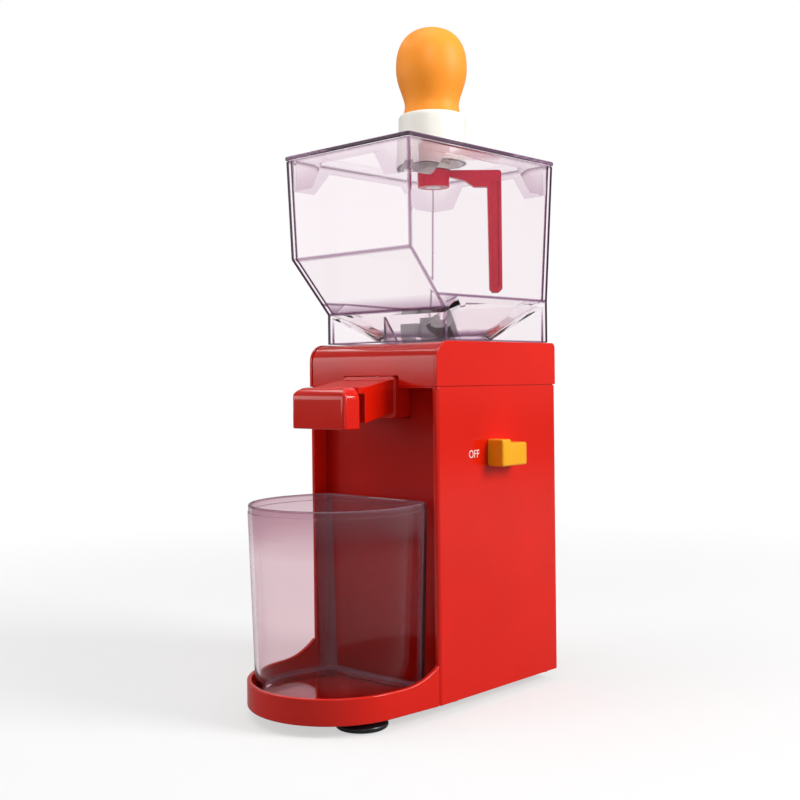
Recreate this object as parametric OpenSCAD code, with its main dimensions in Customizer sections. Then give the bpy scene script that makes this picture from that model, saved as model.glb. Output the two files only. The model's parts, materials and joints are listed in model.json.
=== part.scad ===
// Nut butter grinder: a motor housing with a head, a clear hopper, a spout and a cup.
// Built in its own body frame: x = 0 on the middle plane, y = 0 on the front edges of the
// housing, z = 0 under the housing. place() then moves it onto its feet.

/* [Housing] */
// Width of the housing
body_w = 90; // [86:1:104]
// Depth of the housing from front edges to back
body_d = 95.5; // [94:0.5:112]
// Height of the seam between lower housing and head
seam_z = 152; // [148:1:175]
// Height of the head above the seam
head_h = 22; // [20:1:28]
// Wall of the lower housing
wall = 3; // [2.5:0.1:3.5]
// Wall of the head cover and of the recess panel
skin = 2.5; // [2:0.1:3]
// Thickness of the panels on the sides of the head
cheek_t = 1.7; // [1.4:0.1:2.5]
// Depth of the recess behind the cup
recess = 9; // [7:0.5:12]
// Round of the upright edges of the housing
edge_r = 2; // [1:0.5:2.5]
// Round of the front top edge of the head
head_r = 9; // [6:0.5:12]
// Round of the back top edge of the head
back_r = 2.5; // [1.5:0.5:4]
// Distance of the grinder's axis from the front edges
axis_y = 49; // [48:0.5:52]
// Side of the window that the rear cover closes, from the middle plane
window_x = 33; // [28:1:35]
// Distance of the rear window from the top and the bottom of the housing
window_end = 15; // [13:1:20]
// Depth of the pocket that the rear cover lies in
pocket = 1.6; // [1.2:0.1:2]

/* [Base, tray and feet] */
// Radius of the round front of the tray
tray_r = 42.4; // [40:0.2:43.6]
// Distance of the centre of that round in front of the housing
tray_out = 26; // [22:1:34]
// Height of the tray's wall
ring_h = 12.4; // [9:0.2:16]
// Thickness of the tray's wall
ring_t = 2.2; // [1.8:0.1:3]
// Rise of the tray's wall where it meets the housing
sweep_h = 7.3; // [4:0.1:10]
// Length of that rise
sweep_l = 22; // [18:1:26]
// Thickness of the base
base_t = 3; // [2.5:0.1:4]
// Height of the feet
foot_h = 5; // [3:0.5:8]
// Radius of the front feet
front_foot_r = 12.4; // [9:0.2:13]
// Radius of the rear feet
rear_foot_r = 10; // [7:0.5:12]
// Radius of the stem that holds a foot
foot_stem_r = 3; // [2:0.25:4]

/* [Cup] */
// Height of the cup
cup_h = 93; // [70:1:105]
// Radius of the round front of the cup at its rim
cup_r = 42.2; // [38:0.2:43]
// How much smaller the cup is at its foot, all round
cup_draft = 3.2; // [3:0.1:5]
// Wall of the cup
cup_wall = 2; // [1.5:0.1:3]
// Distance of the flat back of the cup from the recess panel
cup_back = 5.2; // [4:0.2:7]
// Half the width of the flat back of the cup at its rim
cup_back_x = 38; // [34:0.5:40]

/* [Spout] */
// Width of the chute
chute_w = 35.6; // [32:0.2:38]
// Width of the root and the end cap
spout_w = 37.8; // [36:0.2:42]
// Reach of the spout in front of the housing
spout_out = 36; // [30:1:44]
// Depth of the end cap
cap_d = 10.4; // [8:0.2:12]
// Width of the slit between chute and end cap
slit = 4.4; // [3:0.2:6]
// Wall of the chute and the end cap
spout_t = 2.5; // [2:0.1:3]
// Height of the root above the seam
root_up = 5; // [3:0.5:8]
// Depth of the root below the seam
root_down = 15.5; // [14:0.5:17]
// Drop of the chute's top from root to end cap
chute_drop = 5; // [3:0.5:7]
// Height of the end cap
cap_h = 20; // [18:0.5:24]
// Round of the end cap's upper edges
cap_r = 6; // [3:0.5:7]

/* [Grinder] */
// Radius of the bore that the burrs lie in
burr_bore_r = 27; // [25:0.5:28]
// Wall of the grinding chamber
chamber_t = 4; // [3.6:0.1:4.4]
// Height of the burr ring
burr_h = 13; // [10:0.5:13]
// Gap between the burrs where they meet
burr_gap = 0.5; // [0.4:0.05:0.8]
// Flutes in each burr
burr_flutes = 16; // [12:1:20]
// Radius of the grinder shaft
shaft_r = 4; // [3.5:0.25:4.5]
// Height of the feed screw above the burr
feed_h = 22; // [16:1:28]
// Radius that the feed blades reach
feed_r = 17; // [13:0.5:19]

/* [Drive] */
// Gear module
gear_m = 0.9; // [0.8:0.05:1]
// Teeth of each small gear
pinion_z = 12; // [11:1:13]
// Teeth of each large gear
wheel_z = 36; // [32:1:38]
// Face width of the large gears
gear_b = 8; // [6:0.5:8]
// Turn of the idler away from the middle between the side wall and the back wall
idler_turn = 0; // [-4:1:4]
// Radius of the idler's pin
pin_r = 3; // [2.5:0.25:3]
// Wall of the gearbox
case_t = 2; // [1.6:0.1:2.4]
// Radius of the motor
motor_r = 24; // [21:0.5:25]
// Length of the motor's can
motor_h = 60; // [52:1:62]
// Wall of the motor's can
can_t = 1.5; // [1:0.1:2]
// Radius of the motor's shaft
motor_shaft_r = 2.5; // [2:0.25:3]
// Radius of the cooling fan
fan_r = 20; // [17:0.5:22]

/* [Switch] */
// Height of the switch knob's middle
switch_z = 118.5; // [117.5:0.5:120]
// Front end of the switch knob, behind the front edges
switch_y = 37.5; // [34:0.5:42]
// Length of the switch knob
switch_l = 20.5; // [19:0.5:24]
// Length of its raised grip
grip_l = 6.7; // [5:0.1:9]
// Height of the switch knob
switch_h = 13.5; // [12:0.5:15]
// How far the switch knob stands out
switch_out = 9.8; // [7:0.2:12]
// Travel of the switch knob
switch_travel = 7; // [5:0.5:7]

/* [Hopper] */
// Width of the hopper's mouth
mouth_w = 87.8; // [84:0.2:90]
// Overhang of the mouth in front of the housing
mouth_front = 16.5; // [12:0.5:20]
// Overhang of the mouth behind the housing
mouth_back = 2; // [0:0.5:4]
// Height of the mouth above the head
mouth_z = 95; // [85:1:110]
// Height of the top of the slanted front wall above the head
slant_top = 44; // [38:1:48]
// Height of the foot of the slanted front wall above the head
slant_foot = 16; // [13:0.5:18]
// Height of the hopper's side walls' foot above the head
floor_rim = 22.5; // [20:0.5:25]
// Distance of the skirt's front from the housing's front edges
skirt_y = 10; // [8:0.5:12]
// Inset of the skirt from the housing's sides and back
skirt_in = 3; // [2.5:0.1:4]
// Lean of the hopper's upright front wall
slant_lean = 1.8; // [1:0.1:2.5]
// Wall of the hopper
hopper_t = 2.2; // [1.8:0.1:2.6]
// Thickness of the rib between the skirt's front and the throat
rib_t = 2.2; // [1.6:0.1:3]
// Depth of the hopper's throat in the chamber
throat_in = 8; // [6:0.5:9]

/* [Lid and stirrer] */
// Thickness of the lid
lid_t = 2; // [1.5:0.1:3]
// Depth of the lid's lip in the mouth
lip_h = 4; // [3:0.5:6]
// Thickness of the lid's lip and tabs
lip_t = 1.5; // [1.2:0.1:2]
// Depth of the lid's corner tabs
tab_h = 16; // [10:1:20]
// Width of the lid's corner tabs
tab_w = 16; // [12:1:20]
// Radius of the white collar
collar_r = 17.8; // [16:0.2:20]
// Height of the white collar above the lid
collar_h = 24.5; // [18:0.5:30]
// Radius of the collar's neck through the lid
neck_r = 9; // [8:0.5:10]
// Largest radius of the knob
knob_r = 18.9; // [17:0.1:21]
// Radius of the knob's waist
waist_r = 14.4; // [12:0.2:15]
// Height of the knob
knob_h = 46; // [42:0.5:54]
// Height of the knob's waist above the collar
waist_z = 5; // [4:0.5:9]
// Height of the knob's widest point above the collar
bulb_z = 24.5; // [22:0.5:28]
// Radius of the stirrer's spindle
spindle_r = 4; // [3:0.25:4.5]
// Reach of the stirrer's bar from its axis
arm_r = 36; // [32:0.5:37]
// Width of the stirrer's bar
bar_w = 7.5; // [6:0.5:9]
// Thickness of the stirrer's arm and bar
bar_t = 5; // [4:0.5:6]
// Gap between the stirrer's bar and the hopper's floor
bar_clear = 4.5; // [3:0.5:8]
// Rest angle of the stirrer's arm
arm_turn = 43.5; // [30:0.5:60]

/* [Clearances] */
// Gap between pieces that lift off each other
lift_gap = 0.3; // [0.25:0.05:0.4]
// Radial gap of a running fit
run_gap = 0.05; // [0.02:0.01:0.1]
// Gap between fixed panels
panel_gap = 0.2; // [0.15:0.05:0.3]
// Width of the seams that show
seam_gap = 0.4; // [0.3:0.05:0.6]
// Half the backlash between meshing teeth
backlash = 0.08; // [0.06:0.01:0.12]
// Radius of the screws' shanks
screw_r = 1.5; // [1.2:0.1:1.7]

/* [Hidden] */
$fn = 64;
fine = 96;
small = 32;
cut = 1;

half_w = body_w / 2;
inner_x = half_w - wall;
inner_y = body_d - wall;
head_top = seam_z + head_h;
panel_y = recess + skin;

// Base, tray and feet
tray_y = -tray_out;
front_foot = [27 * tray_r / 42.4, tray_y - 8.6];
rear_foot = [24, body_d - 15.5];
foot_stem_h = base_t - 0.5;
foot_rim = 0.45 * foot_h;

// Corner pillars of the lower housing
pillar_r = 4;
pillar_in = 3.2;
pillar_x = inner_x - pillar_in;
pillar_front_y = panel_y + pillar_r;
pillar_back_y = inner_y - pillar_in;
deck_t = 3;
deck_z = seam_z - deck_t;
pilot_h = 12;
screw_head_r = 2 * screw_r;
screw_head_h = 1.6;
screw_bite = 8;

// Rear cover
cover_lip = 4;
cover_x = window_x + cover_lip;
cover_z0 = window_end - cover_lip;
cover_z1 = seam_z - cover_z0;
rear_boss_r = 3.4;
rear_screw_x = window_x + cover_lip / 2;
rear_screw_z0 = window_end - cover_lip / 2;
rear_screw_z1 = seam_z - rear_screw_z0;
vent_x = 20;
vent_z = 44;
vent_pitch = 6;
vent_h = 2.5;
inlet = [-22, 26];
inlet_r = 6;
inlet_bore_r = 3.6;

// Heights of the spout
root_z0 = seam_z - root_down;
root_z1 = seam_z + root_up;
root_front = -1.2;
root_r = 3;
chute_z1 = root_z1 - 1;
chute_z0 = root_z0 + 3;

// Grinding chamber, whose floor runs level into the spout
chamber_r = burr_bore_r + chamber_t;
ledge_z = seam_z - 1;
paste_r = burr_bore_r - 3;
chamber_floor_z = chute_z0 + spout_t;
chamber_floor_t = 6;
chamber_z0 = chamber_floor_z - chamber_floor_t;
chamber_flange_t = 3;
flange_r = chamber_r + 6;
throat_r = burr_bore_r;
throat_out_r = throat_r + 2;
mouth_bore_r = throat_out_r + lift_gap;
seal_r = 2 * shaft_r;
seal_h = 4;
tunnel_w = 27;
tunnel_z0 = chamber_floor_z;
tunnel_z1 = seam_z - 3;
snout_t = spout_t;

// Spout
chute_end = -(spout_out - cap_d - slit);
chute_end_z1 = root_z1 - chute_drop;
chute_end_z0 = root_z0 - 2;
cap_front = -spout_out;
cap_back = cap_front + cap_d;
cap_z1 = chute_end_z1;
cap_z0 = cap_z1 - cap_h;
tongue_x = chute_w / 2 - 6;

// Burrs, feed screw and wiper
burr_low_r = burr_bore_r - 4.5;
burr_top_r = burr_bore_r - 2;
cone_low_r = burr_low_r - burr_gap;
cone_top_r = cone_low_r - 7;
cone_top_z = ledge_z + burr_h + 1;
feed_z0 = cone_top_z;
feed_z1 = feed_z0 + feed_h;
wiper_z0 = chamber_floor_z + 0.6;
wiper_r = paste_r - 0.6;
wiper_h = ledge_z - wiper_z0;

// Drive train, from the top down
gear_axis_gap = gear_m * (pinion_z + wheel_z) / 2;
// the idler leaves the gearbox as far from the side wall as from the back wall
corner_diff = inner_x - (inner_y - axis_y);
idler_dir = 225 - acos(corner_diff / (sqrt(2) * gear_axis_gap)) + idler_turn;
idler = [gear_axis_gap * cos(idler_dir), axis_y + gear_axis_gap * sin(idler_dir)];
bush_h = 12;
gearbox_top = chamber_z0 - 2;
boss_z1 = gearbox_top;
cover_t = 4;
gear_cover_z0 = boss_z1 - bush_h;
high_gear_z1 = gear_cover_z0 - 3;
high_gear_z0 = high_gear_z1 - gear_b;
gear_space = 4;
low_gear_z1 = high_gear_z0 - gear_space;
low_gear_z0 = low_gear_z1 - gear_b + 1;
case_floor_z = low_gear_z0 - 1;
case_floor_t = 3;
case_z0 = case_floor_z - case_floor_t;
wheel_r = gear_m * (wheel_z / 2 + 1);
case_r = wheel_r + 1.3;
bracket_t = 3;
motor_z1 = case_z0 - bracket_t;
motor_z0 = motor_z1 - motor_h;
end_cap_t = 5;
end_cap_z0 = motor_z0 - end_cap_t + 2;
motor_screws = [idler_dir + 75, idler_dir + 180, idler_dir + 285];
shaft_end_z = high_gear_z0 - 1;
motor_shaft_z1 = low_gear_z1 + 2;
motor_shaft_z0 = end_cap_z0 - 8;
fan_z0 = motor_shaft_z0 + 0.5;
fan_h = 6.5;
post_r = 3.5;
post_side = 10.3;
post_front = 6.5;
post_back = 10.8;
post_x = pillar_x - post_side;
post_front_y = pillar_front_y + post_front;
post_back_y = pillar_back_y - post_back;
magnet_t = 4.5;
magnet_turn = 62;
rotor_gap = 0.6;
rotor_r = motor_r - can_t - panel_gap - magnet_t - rotor_gap;
stack_h = 0.46 * motor_h;
stack_z0 = motor_z0 + 0.28 * motor_h;
bearing_r = 2.4 * motor_shaft_r;
bearing_h = 4;

// Switch
switch_x1 = half_w + switch_out;
switch_face = half_w + panel_gap;
stem_l = 6;
stem_h = 6;
stem_y = switch_y + 6;
stem_deep = wall + 5;
switch_body_d = 7;
switch_body_x0 = inner_x - panel_gap - switch_body_d;
switch_body_h = 14;
tail_h = switch_h - 2;
slot_play = 0.5;

// Rectifier board on the side wall
board_z = 40;
board_w = 40;
board_h = 52;
board_t = 1.6;
board_out = 2;
board_edge = 4;
chip_h = 5;

// Hopper, heights counted from the head's top
seat_z = head_top + lift_gap;
floor_z = head_top + floor_rim;
slant_z1 = head_top + slant_top;
slant_z0 = head_top + slant_foot;
mouth_top = head_top + mouth_z;
mouth_x = mouth_w / 2;
mouth_y0 = -mouth_front;
mouth_y1 = body_d + mouth_back;
skirt_x = half_w - skirt_in;
skirt_y1 = body_d - skirt_in / 2;
throat_z1 = head_top + 4;
throat_z0 = head_top - throat_in + lift_gap;
slant_y = mouth_y0 + slant_lean;

// Lid and stirrer
lid_z0 = mouth_top + lift_gap;
lid_z1 = lid_z0 + lid_t;
lid_over = 0.4;
lip_out = hopper_t + 0.8;
collar_z1 = lid_z1 + collar_h;
neck_z0 = lid_z0 - 2.6;
knob_z0 = collar_z1 + lift_gap;
arm_top = neck_z0 - lift_gap;
arm_low = floor_z + bar_clear;
arm_deep = 9;
spindle_z0 = arm_top - arm_deep;
spindle_z1 = knob_z0 + bulb_z;
dome_power = 2.4;
neck_power = 0.8;
foot_flare = 0.9;

// Cup, tapered from rim to foot
cup_z0 = base_t + lift_gap;
cup_y1 = recess - cup_back;
cup_cy = tray_y + 1;
cup_floor = cup_wall + 0.5;

// Bounds of the whole, which place its origin
front_y = tray_y - tray_r;
back_y = mouth_y1 + lid_over;
origin = [-switch_out / 2, -(front_y + back_y) / 2, foot_h];

// ---- helpers ----

// Moves a piece from the body frame to the frame of the whole
module place() {
    translate(origin) children();
}

// Rectangle with round corners, as true arcs
module round_rect(x0, x1, y0, y1, r) {
    translate([x0 + r, y0]) square([x1 - x0 - 2 * r, y1 - y0]);
    translate([x0, y0 + r]) square([x1 - x0, y1 - y0 - 2 * r]);
    for (x = [x0 + r, x1 - r], y = [y0 + r, y1 - r]) translate([x, y]) circle(r);
}

// Box between two corners
module block(x0, x1, y0, y1, z0, z1) {
    translate([x0, y0, z0]) cube([x1 - x0, y1 - y0, z1 - z0]);
}

// Drum on an upright axis
module drum(x, y, z0, z1, r, n = $fn) {
    translate([x, y, z0]) cylinder(h = z1 - z0, r = r, $fn = n);
}

// Extrudes a (y, z) profile along x, between two values of x
module along_x(x0, x1) {
    translate([x0, 0, 0]) rotate([90, 0, 90]) linear_extrude(x1 - x0) children();
}

// Extrudes an (x, z) profile along y, between two values of y
module along_y(y0, y1) {
    translate([0, y1, 0]) rotate([90, 0, 0]) linear_extrude(y1 - y0) children();
}

// Angle at which the tray's straight side leaves its round front
function side_angle(r, cy, hx, y1) =
    atan2(y1 - cy, hx) - acos(r / norm([hx, y1 - cy]));

// Plan of the tray: a round front whose tangents run back to half-width hx at y1
module d_plan(r, cy, hx, y1, inset = 0) {
    a = side_angle(r, cy, hx, y1);
    ri = r - inset;
    hi = (ri - sin(a) * (y1 - cy)) / cos(a);
    steps = 60;
    polygon(concat(
        [for (k = [0:steps]) let (t = a - (180 + 2 * a) * k / steps) [ri * cos(t), cy + ri * sin(t)]],
        [[-hi, y1], [hi, y1]]
    ));
}

// Involute of the angle a, in degrees
function inv(a) = tan(a) * 180 / PI - a;

// Half the angle of a tooth at radius r, for z teeth of module m
function tooth_half(z, m, r) =
    let (rb = m * z / 2 * cos(pressure), rr = max(r, rb))
    90 / z - backlash * 180 / PI / (m * z / 2) + inv(pressure) - inv(acos(rb / rr));
pressure = 25;
function tooth_radii(z, m) =
    let (root = m * (z / 2 - 1.15), tip = m * (z / 2 + 0.9))
    [for (k = [0:5]) root + (tip - root) * k / 5];

// Outline of a spur gear, turned so that a tooth stands at the angle turn
function gear_outline(z, m, turn) = [
    for (i = [0:z - 1], side = [-1, 1], k = [0:5])
        let (
            r = tooth_radii(z, m)[side < 0 ? k : 5 - k],
            a = turn + 360 * i / z + side * tooth_half(z, m, r)
        )
        r * [cos(a), sin(a)]
];
module spur(z, m, turn, z0, z1) {
    translate([0, 0, z0]) linear_extrude(z1 - z0) polygon(gear_outline(z, m, turn));
}

// Pan-head screws that point up (dir = 1) or down (dir = -1), heads' seat at z = 0
module screw_up(x, y, z, l, dir = 1) {
    translate([x, y, z]) mirror([0, 0, dir > 0 ? 0 : 1]) {
        difference() {
            translate([0, 0, -screw_head_h]) cylinder(h = screw_head_h, r = screw_head_r, $fn = small);
            translate([-screw_head_r, -0.4, -screw_head_h - cut]) cube([2 * screw_head_r, 0.8, cut + 0.7]);
        }
        cylinder(h = l, r = screw_r - 0.1, $fn = small);
    }
}

module at_pillars() {
    for (x = [-pillar_x, pillar_x], y = [pillar_front_y, pillar_back_y]) translate([x, y, 0]) children();
}

module at_posts() {
    for (x = [-post_x, post_x], y = [post_front_y, post_back_y]) translate([x, y, 0]) children();
}

// ---- housing ----

module lower_housing() {
    color("#d2200f") place() difference() {
        union() {
            linear_extrude(seam_z - seam_gap) difference() {
                round_rect(-half_w, half_w, 0, body_d, edge_r);
                translate([-inner_x, -cut]) square([2 * inner_x, inner_y + cut]);
            }
            at_pillars() translate([0, 0, base_t])
                cylinder(h = deck_z - base_t, r = pillar_r, $fn = small);
            for (x = [-rear_screw_x, rear_screw_x], z = [rear_screw_z0, rear_screw_z1])
                translate([x, inner_y - 8, z]) rotate([-90, 0, 0])
                    cylinder(h = 8 + cut, r = rear_boss_r, $fn = small);
        }
        // grooves that hold the recess panel's edges
        for (s = [-1, 1])
            block(s < 0 ? -inner_x - 1 : inner_x - cut, s < 0 ? -inner_x + cut : inner_x + 1,
                  recess, panel_y, -cut, seam_z);
        // window and pocket of the rear cover
        block(-window_x, window_x, inner_y - cut, body_d + cut, window_end, seam_z - window_end);
        block(-cover_x, cover_x, body_d - pocket, body_d + cut, cover_z0, cover_z1);
        for (x = [-rear_screw_x, rear_screw_x], z = [rear_screw_z0, rear_screw_z1])
            translate([x, inner_y - 7, z]) rotate([-90, 0, 0]) cylinder(h = 12, r = screw_r, $fn = small);
        // screws into the pillars
        at_pillars() translate([0, 0, base_t - cut]) cylinder(h = pilot_h + cut, r = screw_r, $fn = small);
        at_pillars() translate([0, 0, deck_z - pilot_h])
            cylinder(h = pilot_h + cut, r = screw_r, $fn = small);
        // slot of the switch
        block(inner_x - cut, half_w + cut, stem_y - slot_play, stem_y + stem_l + switch_travel + slot_play,
              switch_z - stem_h / 2 - slot_play, switch_z + stem_h / 2 + slot_play);
    }
}

module recess_panel() {
    color("#9c140c") place() along_y(recess + 0.02, panel_y - 0.02) difference() {
        translate([-inner_x - 1 + panel_gap, base_t])
            square([2 * (inner_x + 1 - panel_gap), seam_z - seam_gap - base_t]);
        translate([-spout_w / 2 - panel_gap, root_z0 - panel_gap])
            square([spout_w + 2 * panel_gap, root_down + cut]);
    }
}

module rear_cover() {
    color("#c41d0f") place() difference() {
        union() {
            block(-cover_x + panel_gap, cover_x - panel_gap, body_d - pocket, body_d,
                  cover_z0 + panel_gap, cover_z1 - panel_gap);
            block(-window_x + panel_gap, window_x - panel_gap, inner_y, body_d - pocket,
                  window_end + panel_gap, seam_z - window_end - panel_gap);
        }
        for (k = [0:6]) translate([0, 0, vent_z + vent_pitch * k])
            block(-vent_x, vent_x, inner_y - cut, body_d + cut, 0, vent_h);
        translate([inlet[0], inner_y - cut, inlet[1]]) rotate([-90, 0, 0])
            cylinder(h = wall + 2 * cut, r = inlet_r, $fn = small);
        for (x = [-rear_screw_x, rear_screw_x], z = [rear_screw_z0, rear_screw_z1])
            translate([x, inner_y - cut, z]) rotate([-90, 0, 0]) cylinder(h = 6, r = screw_r, $fn = small);
    }
}

module rear_screws() {
    color("#8a8c90") place()
        for (x = [-rear_screw_x, rear_screw_x], z = [rear_screw_z0, rear_screw_z1])
            translate([x, body_d, z]) rotate([90, 0, 0]) screw_up(0, 0, 0, screw_bite);
}

module cord_inlet() {
    color("#18181a") place() translate([inlet[0], 0, inlet[1]]) difference() {
        union() {
            translate([0, inner_y - 4, 0]) rotate([-90, 0, 0])
                cylinder(h = wall + 4, r = inlet_r - 0.02, $fn = small);
            translate([0, body_d, 0]) rotate([-90, 0, 0]) cylinder(h = 1.8, r = inlet_r + 1.5, $fn = small);
        }
        translate([0, inner_y - 5, 0]) rotate([-90, 0, 0])
            cylinder(h = wall + 9, r = inlet_bore_r, $fn = small);
    }
}

module base_tray() {
    sweep_r = (sweep_l * sweep_l + sweep_h * sweep_h) / (2 * sweep_h);
    color("#cf1e0e") place() difference() {
        union() {
            difference() {
                linear_extrude(ring_h + sweep_h) difference() {
                    d_plan(tray_r, tray_y, half_w, -seam_gap / 2);
                    d_plan(tray_r, tray_y, half_w, -seam_gap / 2, ring_t);
                }
                // the wall's top edge, with its rise towards the housing
                along_x(-body_w, body_w) union() {
                    translate([front_y - cut, ring_h])
                        square([-sweep_l - front_y + cut, sweep_h + cut]);
                    translate([-sweep_l, ring_h + sweep_r]) circle(sweep_r, $fn = 180);
                }
            }
            linear_extrude(base_t) d_plan(tray_r, tray_y, half_w, -seam_gap / 2, ring_t / 2);
            block(-inner_x + panel_gap, inner_x - panel_gap, -cut, inner_y - panel_gap, 0, base_t);
        }
        for (s = [-1, 1]) {
            drum(s * front_foot[0], front_foot[1], -cut, base_t + cut, foot_stem_r, small);
            drum(s * rear_foot[0], rear_foot[1], -cut, base_t + cut, foot_stem_r, small);
        }
        at_pillars() translate([0, 0, -cut]) cylinder(h = base_t + 2 * cut, r = screw_r, $fn = small);
        // air slots under the fan
        translate([0, axis_y, 0]) for (k = [0:7]) rotate(22.5 + 45 * k)
            block(7, 17, -1.5, 1.5, -cut, base_t + cut);
    }
}

// One foot: a flared disc under a stem that is pressed into the base
module foot(r) {
    rotate_extrude($fn = fine) polygon([
        [0, -foot_h], [r - 0.8, -foot_h], [r, -foot_h + 0.8], [r, -foot_h + foot_rim],
        [0.55 * r, -0.02], [foot_stem_r - 0.02, -0.02], [foot_stem_r - 0.02, foot_stem_h], [0, foot_stem_h]
    ]);
}

module front_feet() {
    color("#141416") place() for (s = [-1, 1]) translate([s * front_foot[0], front_foot[1], 0]) foot(front_foot_r);
}

module rear_feet() {
    color("#141416") place() for (s = [-1, 1]) translate([s * rear_foot[0], rear_foot[1], 0]) foot(rear_foot_r);
}

module base_screws() {
    color("#8a8c90") place() at_pillars() screw_up(0, 0, 0, base_t + screw_bite);
}

// ---- head ----

module deck() {
    color("#3a3a3e") place() difference() {
        block(-inner_x + panel_gap, inner_x - panel_gap, panel_y, inner_y - panel_gap, deck_z, seam_z);
        drum(0, axis_y, deck_z - cut, seam_z + cut, chamber_r + panel_gap, fine);
        block(-tunnel_w / 2 - snout_t - panel_gap, tunnel_w / 2 + snout_t + panel_gap,
              panel_y - cut, axis_y, deck_z - cut, seam_z + cut);
        block(-spout_w / 2 - panel_gap, spout_w / 2 + panel_gap, panel_y - cut, panel_y + 0.5 + panel_gap,
              deck_z - cut, seam_z + cut);
        at_pillars() translate([0, 0, deck_z - cut]) cylinder(h = deck_t + 2 * cut, r = screw_r, $fn = small);
        at_posts() translate([0, 0, deck_z - cut]) cylinder(h = deck_t + 2 * cut, r = screw_r, $fn = small);
    }
}

module deck_screws() {
    color("#8a8c90") place() {
        at_pillars() screw_up(0, 0, seam_z, deck_t + screw_bite, -1);
        at_posts() screw_up(0, 0, seam_z, deck_t + screw_bite, -1);
    }
}

// Side view of the head: (y, z) outline with a round front top edge, inset all round
module head_profile(inset) {
    y0 = inset;
    y1 = body_d - inset;
    z1 = head_top - inset;
    rf = max(head_r - inset, 0.5);
    rb = max(back_r - inset, 0.5);
    translate([y0, seam_z]) square([y1 - y0, z1 - seam_z - max(rf, rb)]);
    translate([y0 + rf, seam_z]) square([y1 - y0 - rf - rb, z1 - seam_z]);
    translate([y1 - rb, seam_z]) square([rb, z1 - seam_z - rb]);
    translate([y0 + rf, z1 - rf]) circle(rf, $fn = fine);
    translate([y1 - rb, z1 - rb]) circle(rb, $fn = small);
}

cheek_x = half_w - cheek_t;
cover_half = cheek_x - panel_gap;
cover_inset = 0.4;
foot_end = 22;
foot_w = 4;
foot_t = 2;

module head_cover() {
    color("#c91d0e") place() difference() {
        along_x(-cover_half, cover_half) head_profile(cover_inset);
        difference() {
            along_x(-cover_half - cut, cover_half + cut) head_profile(cover_inset + skin);
            // floor of the front overhang, which roofs the recess
            block(-cover_half - 2 * cut, cover_half + 2 * cut, -cut, panel_y, seam_z - cut, seam_z + 2);
        }
        drum(0, axis_y, seam_z + 3, head_top + cut, chamber_r + panel_gap, fine);
        block(-spout_w / 2 - panel_gap, spout_w / 2 + panel_gap, -cut, panel_y + cut,
              seam_z - cut, root_z1 + panel_gap);
    }
}

// A side panel of the head, with a flange that lies on the deck
module head_side(s) {
    place() mirror([s < 0 ? 1 : 0, 0, 0]) {
        along_x(cheek_x, half_w) head_profile(0);
        block(cheek_x - foot_w, cheek_x + 0.5, foot_end, body_d - foot_end, seam_z, seam_z + foot_t);
    }
}

module head_side_left() {
    color("#d8220f") head_side(-1);
}

module head_side_right() {
    color("#d8220f") head_side(1);
}

// ---- grinder ----

module grinding_chamber() {
    snout_x = tunnel_w / 2 + snout_t;
    color("#4a4a50") place() difference() {
        union() {
            drum(0, axis_y, chamber_z0, head_top, chamber_r, fine);
            drum(0, axis_y, seam_z, seam_z + chamber_flange_t, flange_r, fine);
            block(-snout_x, snout_x, panel_y + 0.5, axis_y, tunnel_z0 - snout_t, tunnel_z1 + snout_t);
        }
        drum(0, axis_y, chamber_floor_z, ledge_z + cut, paste_r, fine);
        drum(0, axis_y, ledge_z, head_top + cut, burr_bore_r, fine);
        drum(0, axis_y, throat_z0 - lift_gap, head_top + cut, mouth_bore_r, fine);
        drum(0, axis_y, chamber_z0 - cut, chamber_floor_z + cut, shaft_r + 0.5);
        drum(0, axis_y, chamber_floor_z - seal_h, chamber_floor_z + cut, seal_r);
        block(-tunnel_w / 2, tunnel_w / 2, panel_y - cut, axis_y, tunnel_z0, tunnel_z1);
        at_posts() translate([0, 0, seam_z - cut])
            cylinder(h = chamber_flange_t + 2 * cut, r = screw_head_r + 0.4, $fn = small);
    }
}

module burr_ring() {
    color("#b8bcc2") place() translate([0, axis_y, ledge_z]) difference() {
        cylinder(h = burr_h, r = burr_bore_r - 0.05, $fn = fine);
        translate([0, 0, -0.01])
            cylinder(h = burr_h + 0.02, r1 = burr_low_r, r2 = burr_top_r, $fn = fine);
        for (k = [0:burr_flutes - 1]) rotate(360 * k / burr_flutes)
            translate([burr_low_r - 2, -0.8, 3]) cube([3.6, 1.6, burr_h]);
    }
}

module burr_cone() {
    color("#c6c9ce") place() translate([0, axis_y, ledge_z]) difference() {
        union() {
            cylinder(h = burr_h, r1 = cone_low_r, r2 = cone_top_r, $fn = fine);
            cylinder(h = cone_top_z - ledge_z, r = cone_top_r - 3, $fn = fine);
        }
        translate([0, 0, -cut]) cylinder(h = burr_h + 4 * cut, r = shaft_r + 0.02);
        for (k = [0:burr_flutes - 1]) rotate(360 * k / burr_flutes)
            translate([cone_top_r - 1, -0.8, 2.5]) rotate([0, 0, 18]) cube([10, 1.6, burr_h]);
    }
}

module feed_screw() {
    color("#b0b4ba") place() translate([0, axis_y, feed_z0]) difference() {
        union() {
            cylinder(h = feed_h, r1 = 9, r2 = 6.5);
            intersection() {
                for (k = [0:2]) rotate(120 * k) translate([0, 0, feed_h * 0.45])
                    rotate([38, 0, 0]) translate([3, -1.2, -feed_h / 2]) cube([feed_r, 2.4, feed_h]);
                translate([0, 0, 1]) cylinder(h = feed_h - 2, r = feed_r, $fn = fine);
            }
        }
        translate([0, 0, -cut]) cylinder(h = feed_h - 2 + cut, r = shaft_r + 0.02);
    }
}

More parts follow.
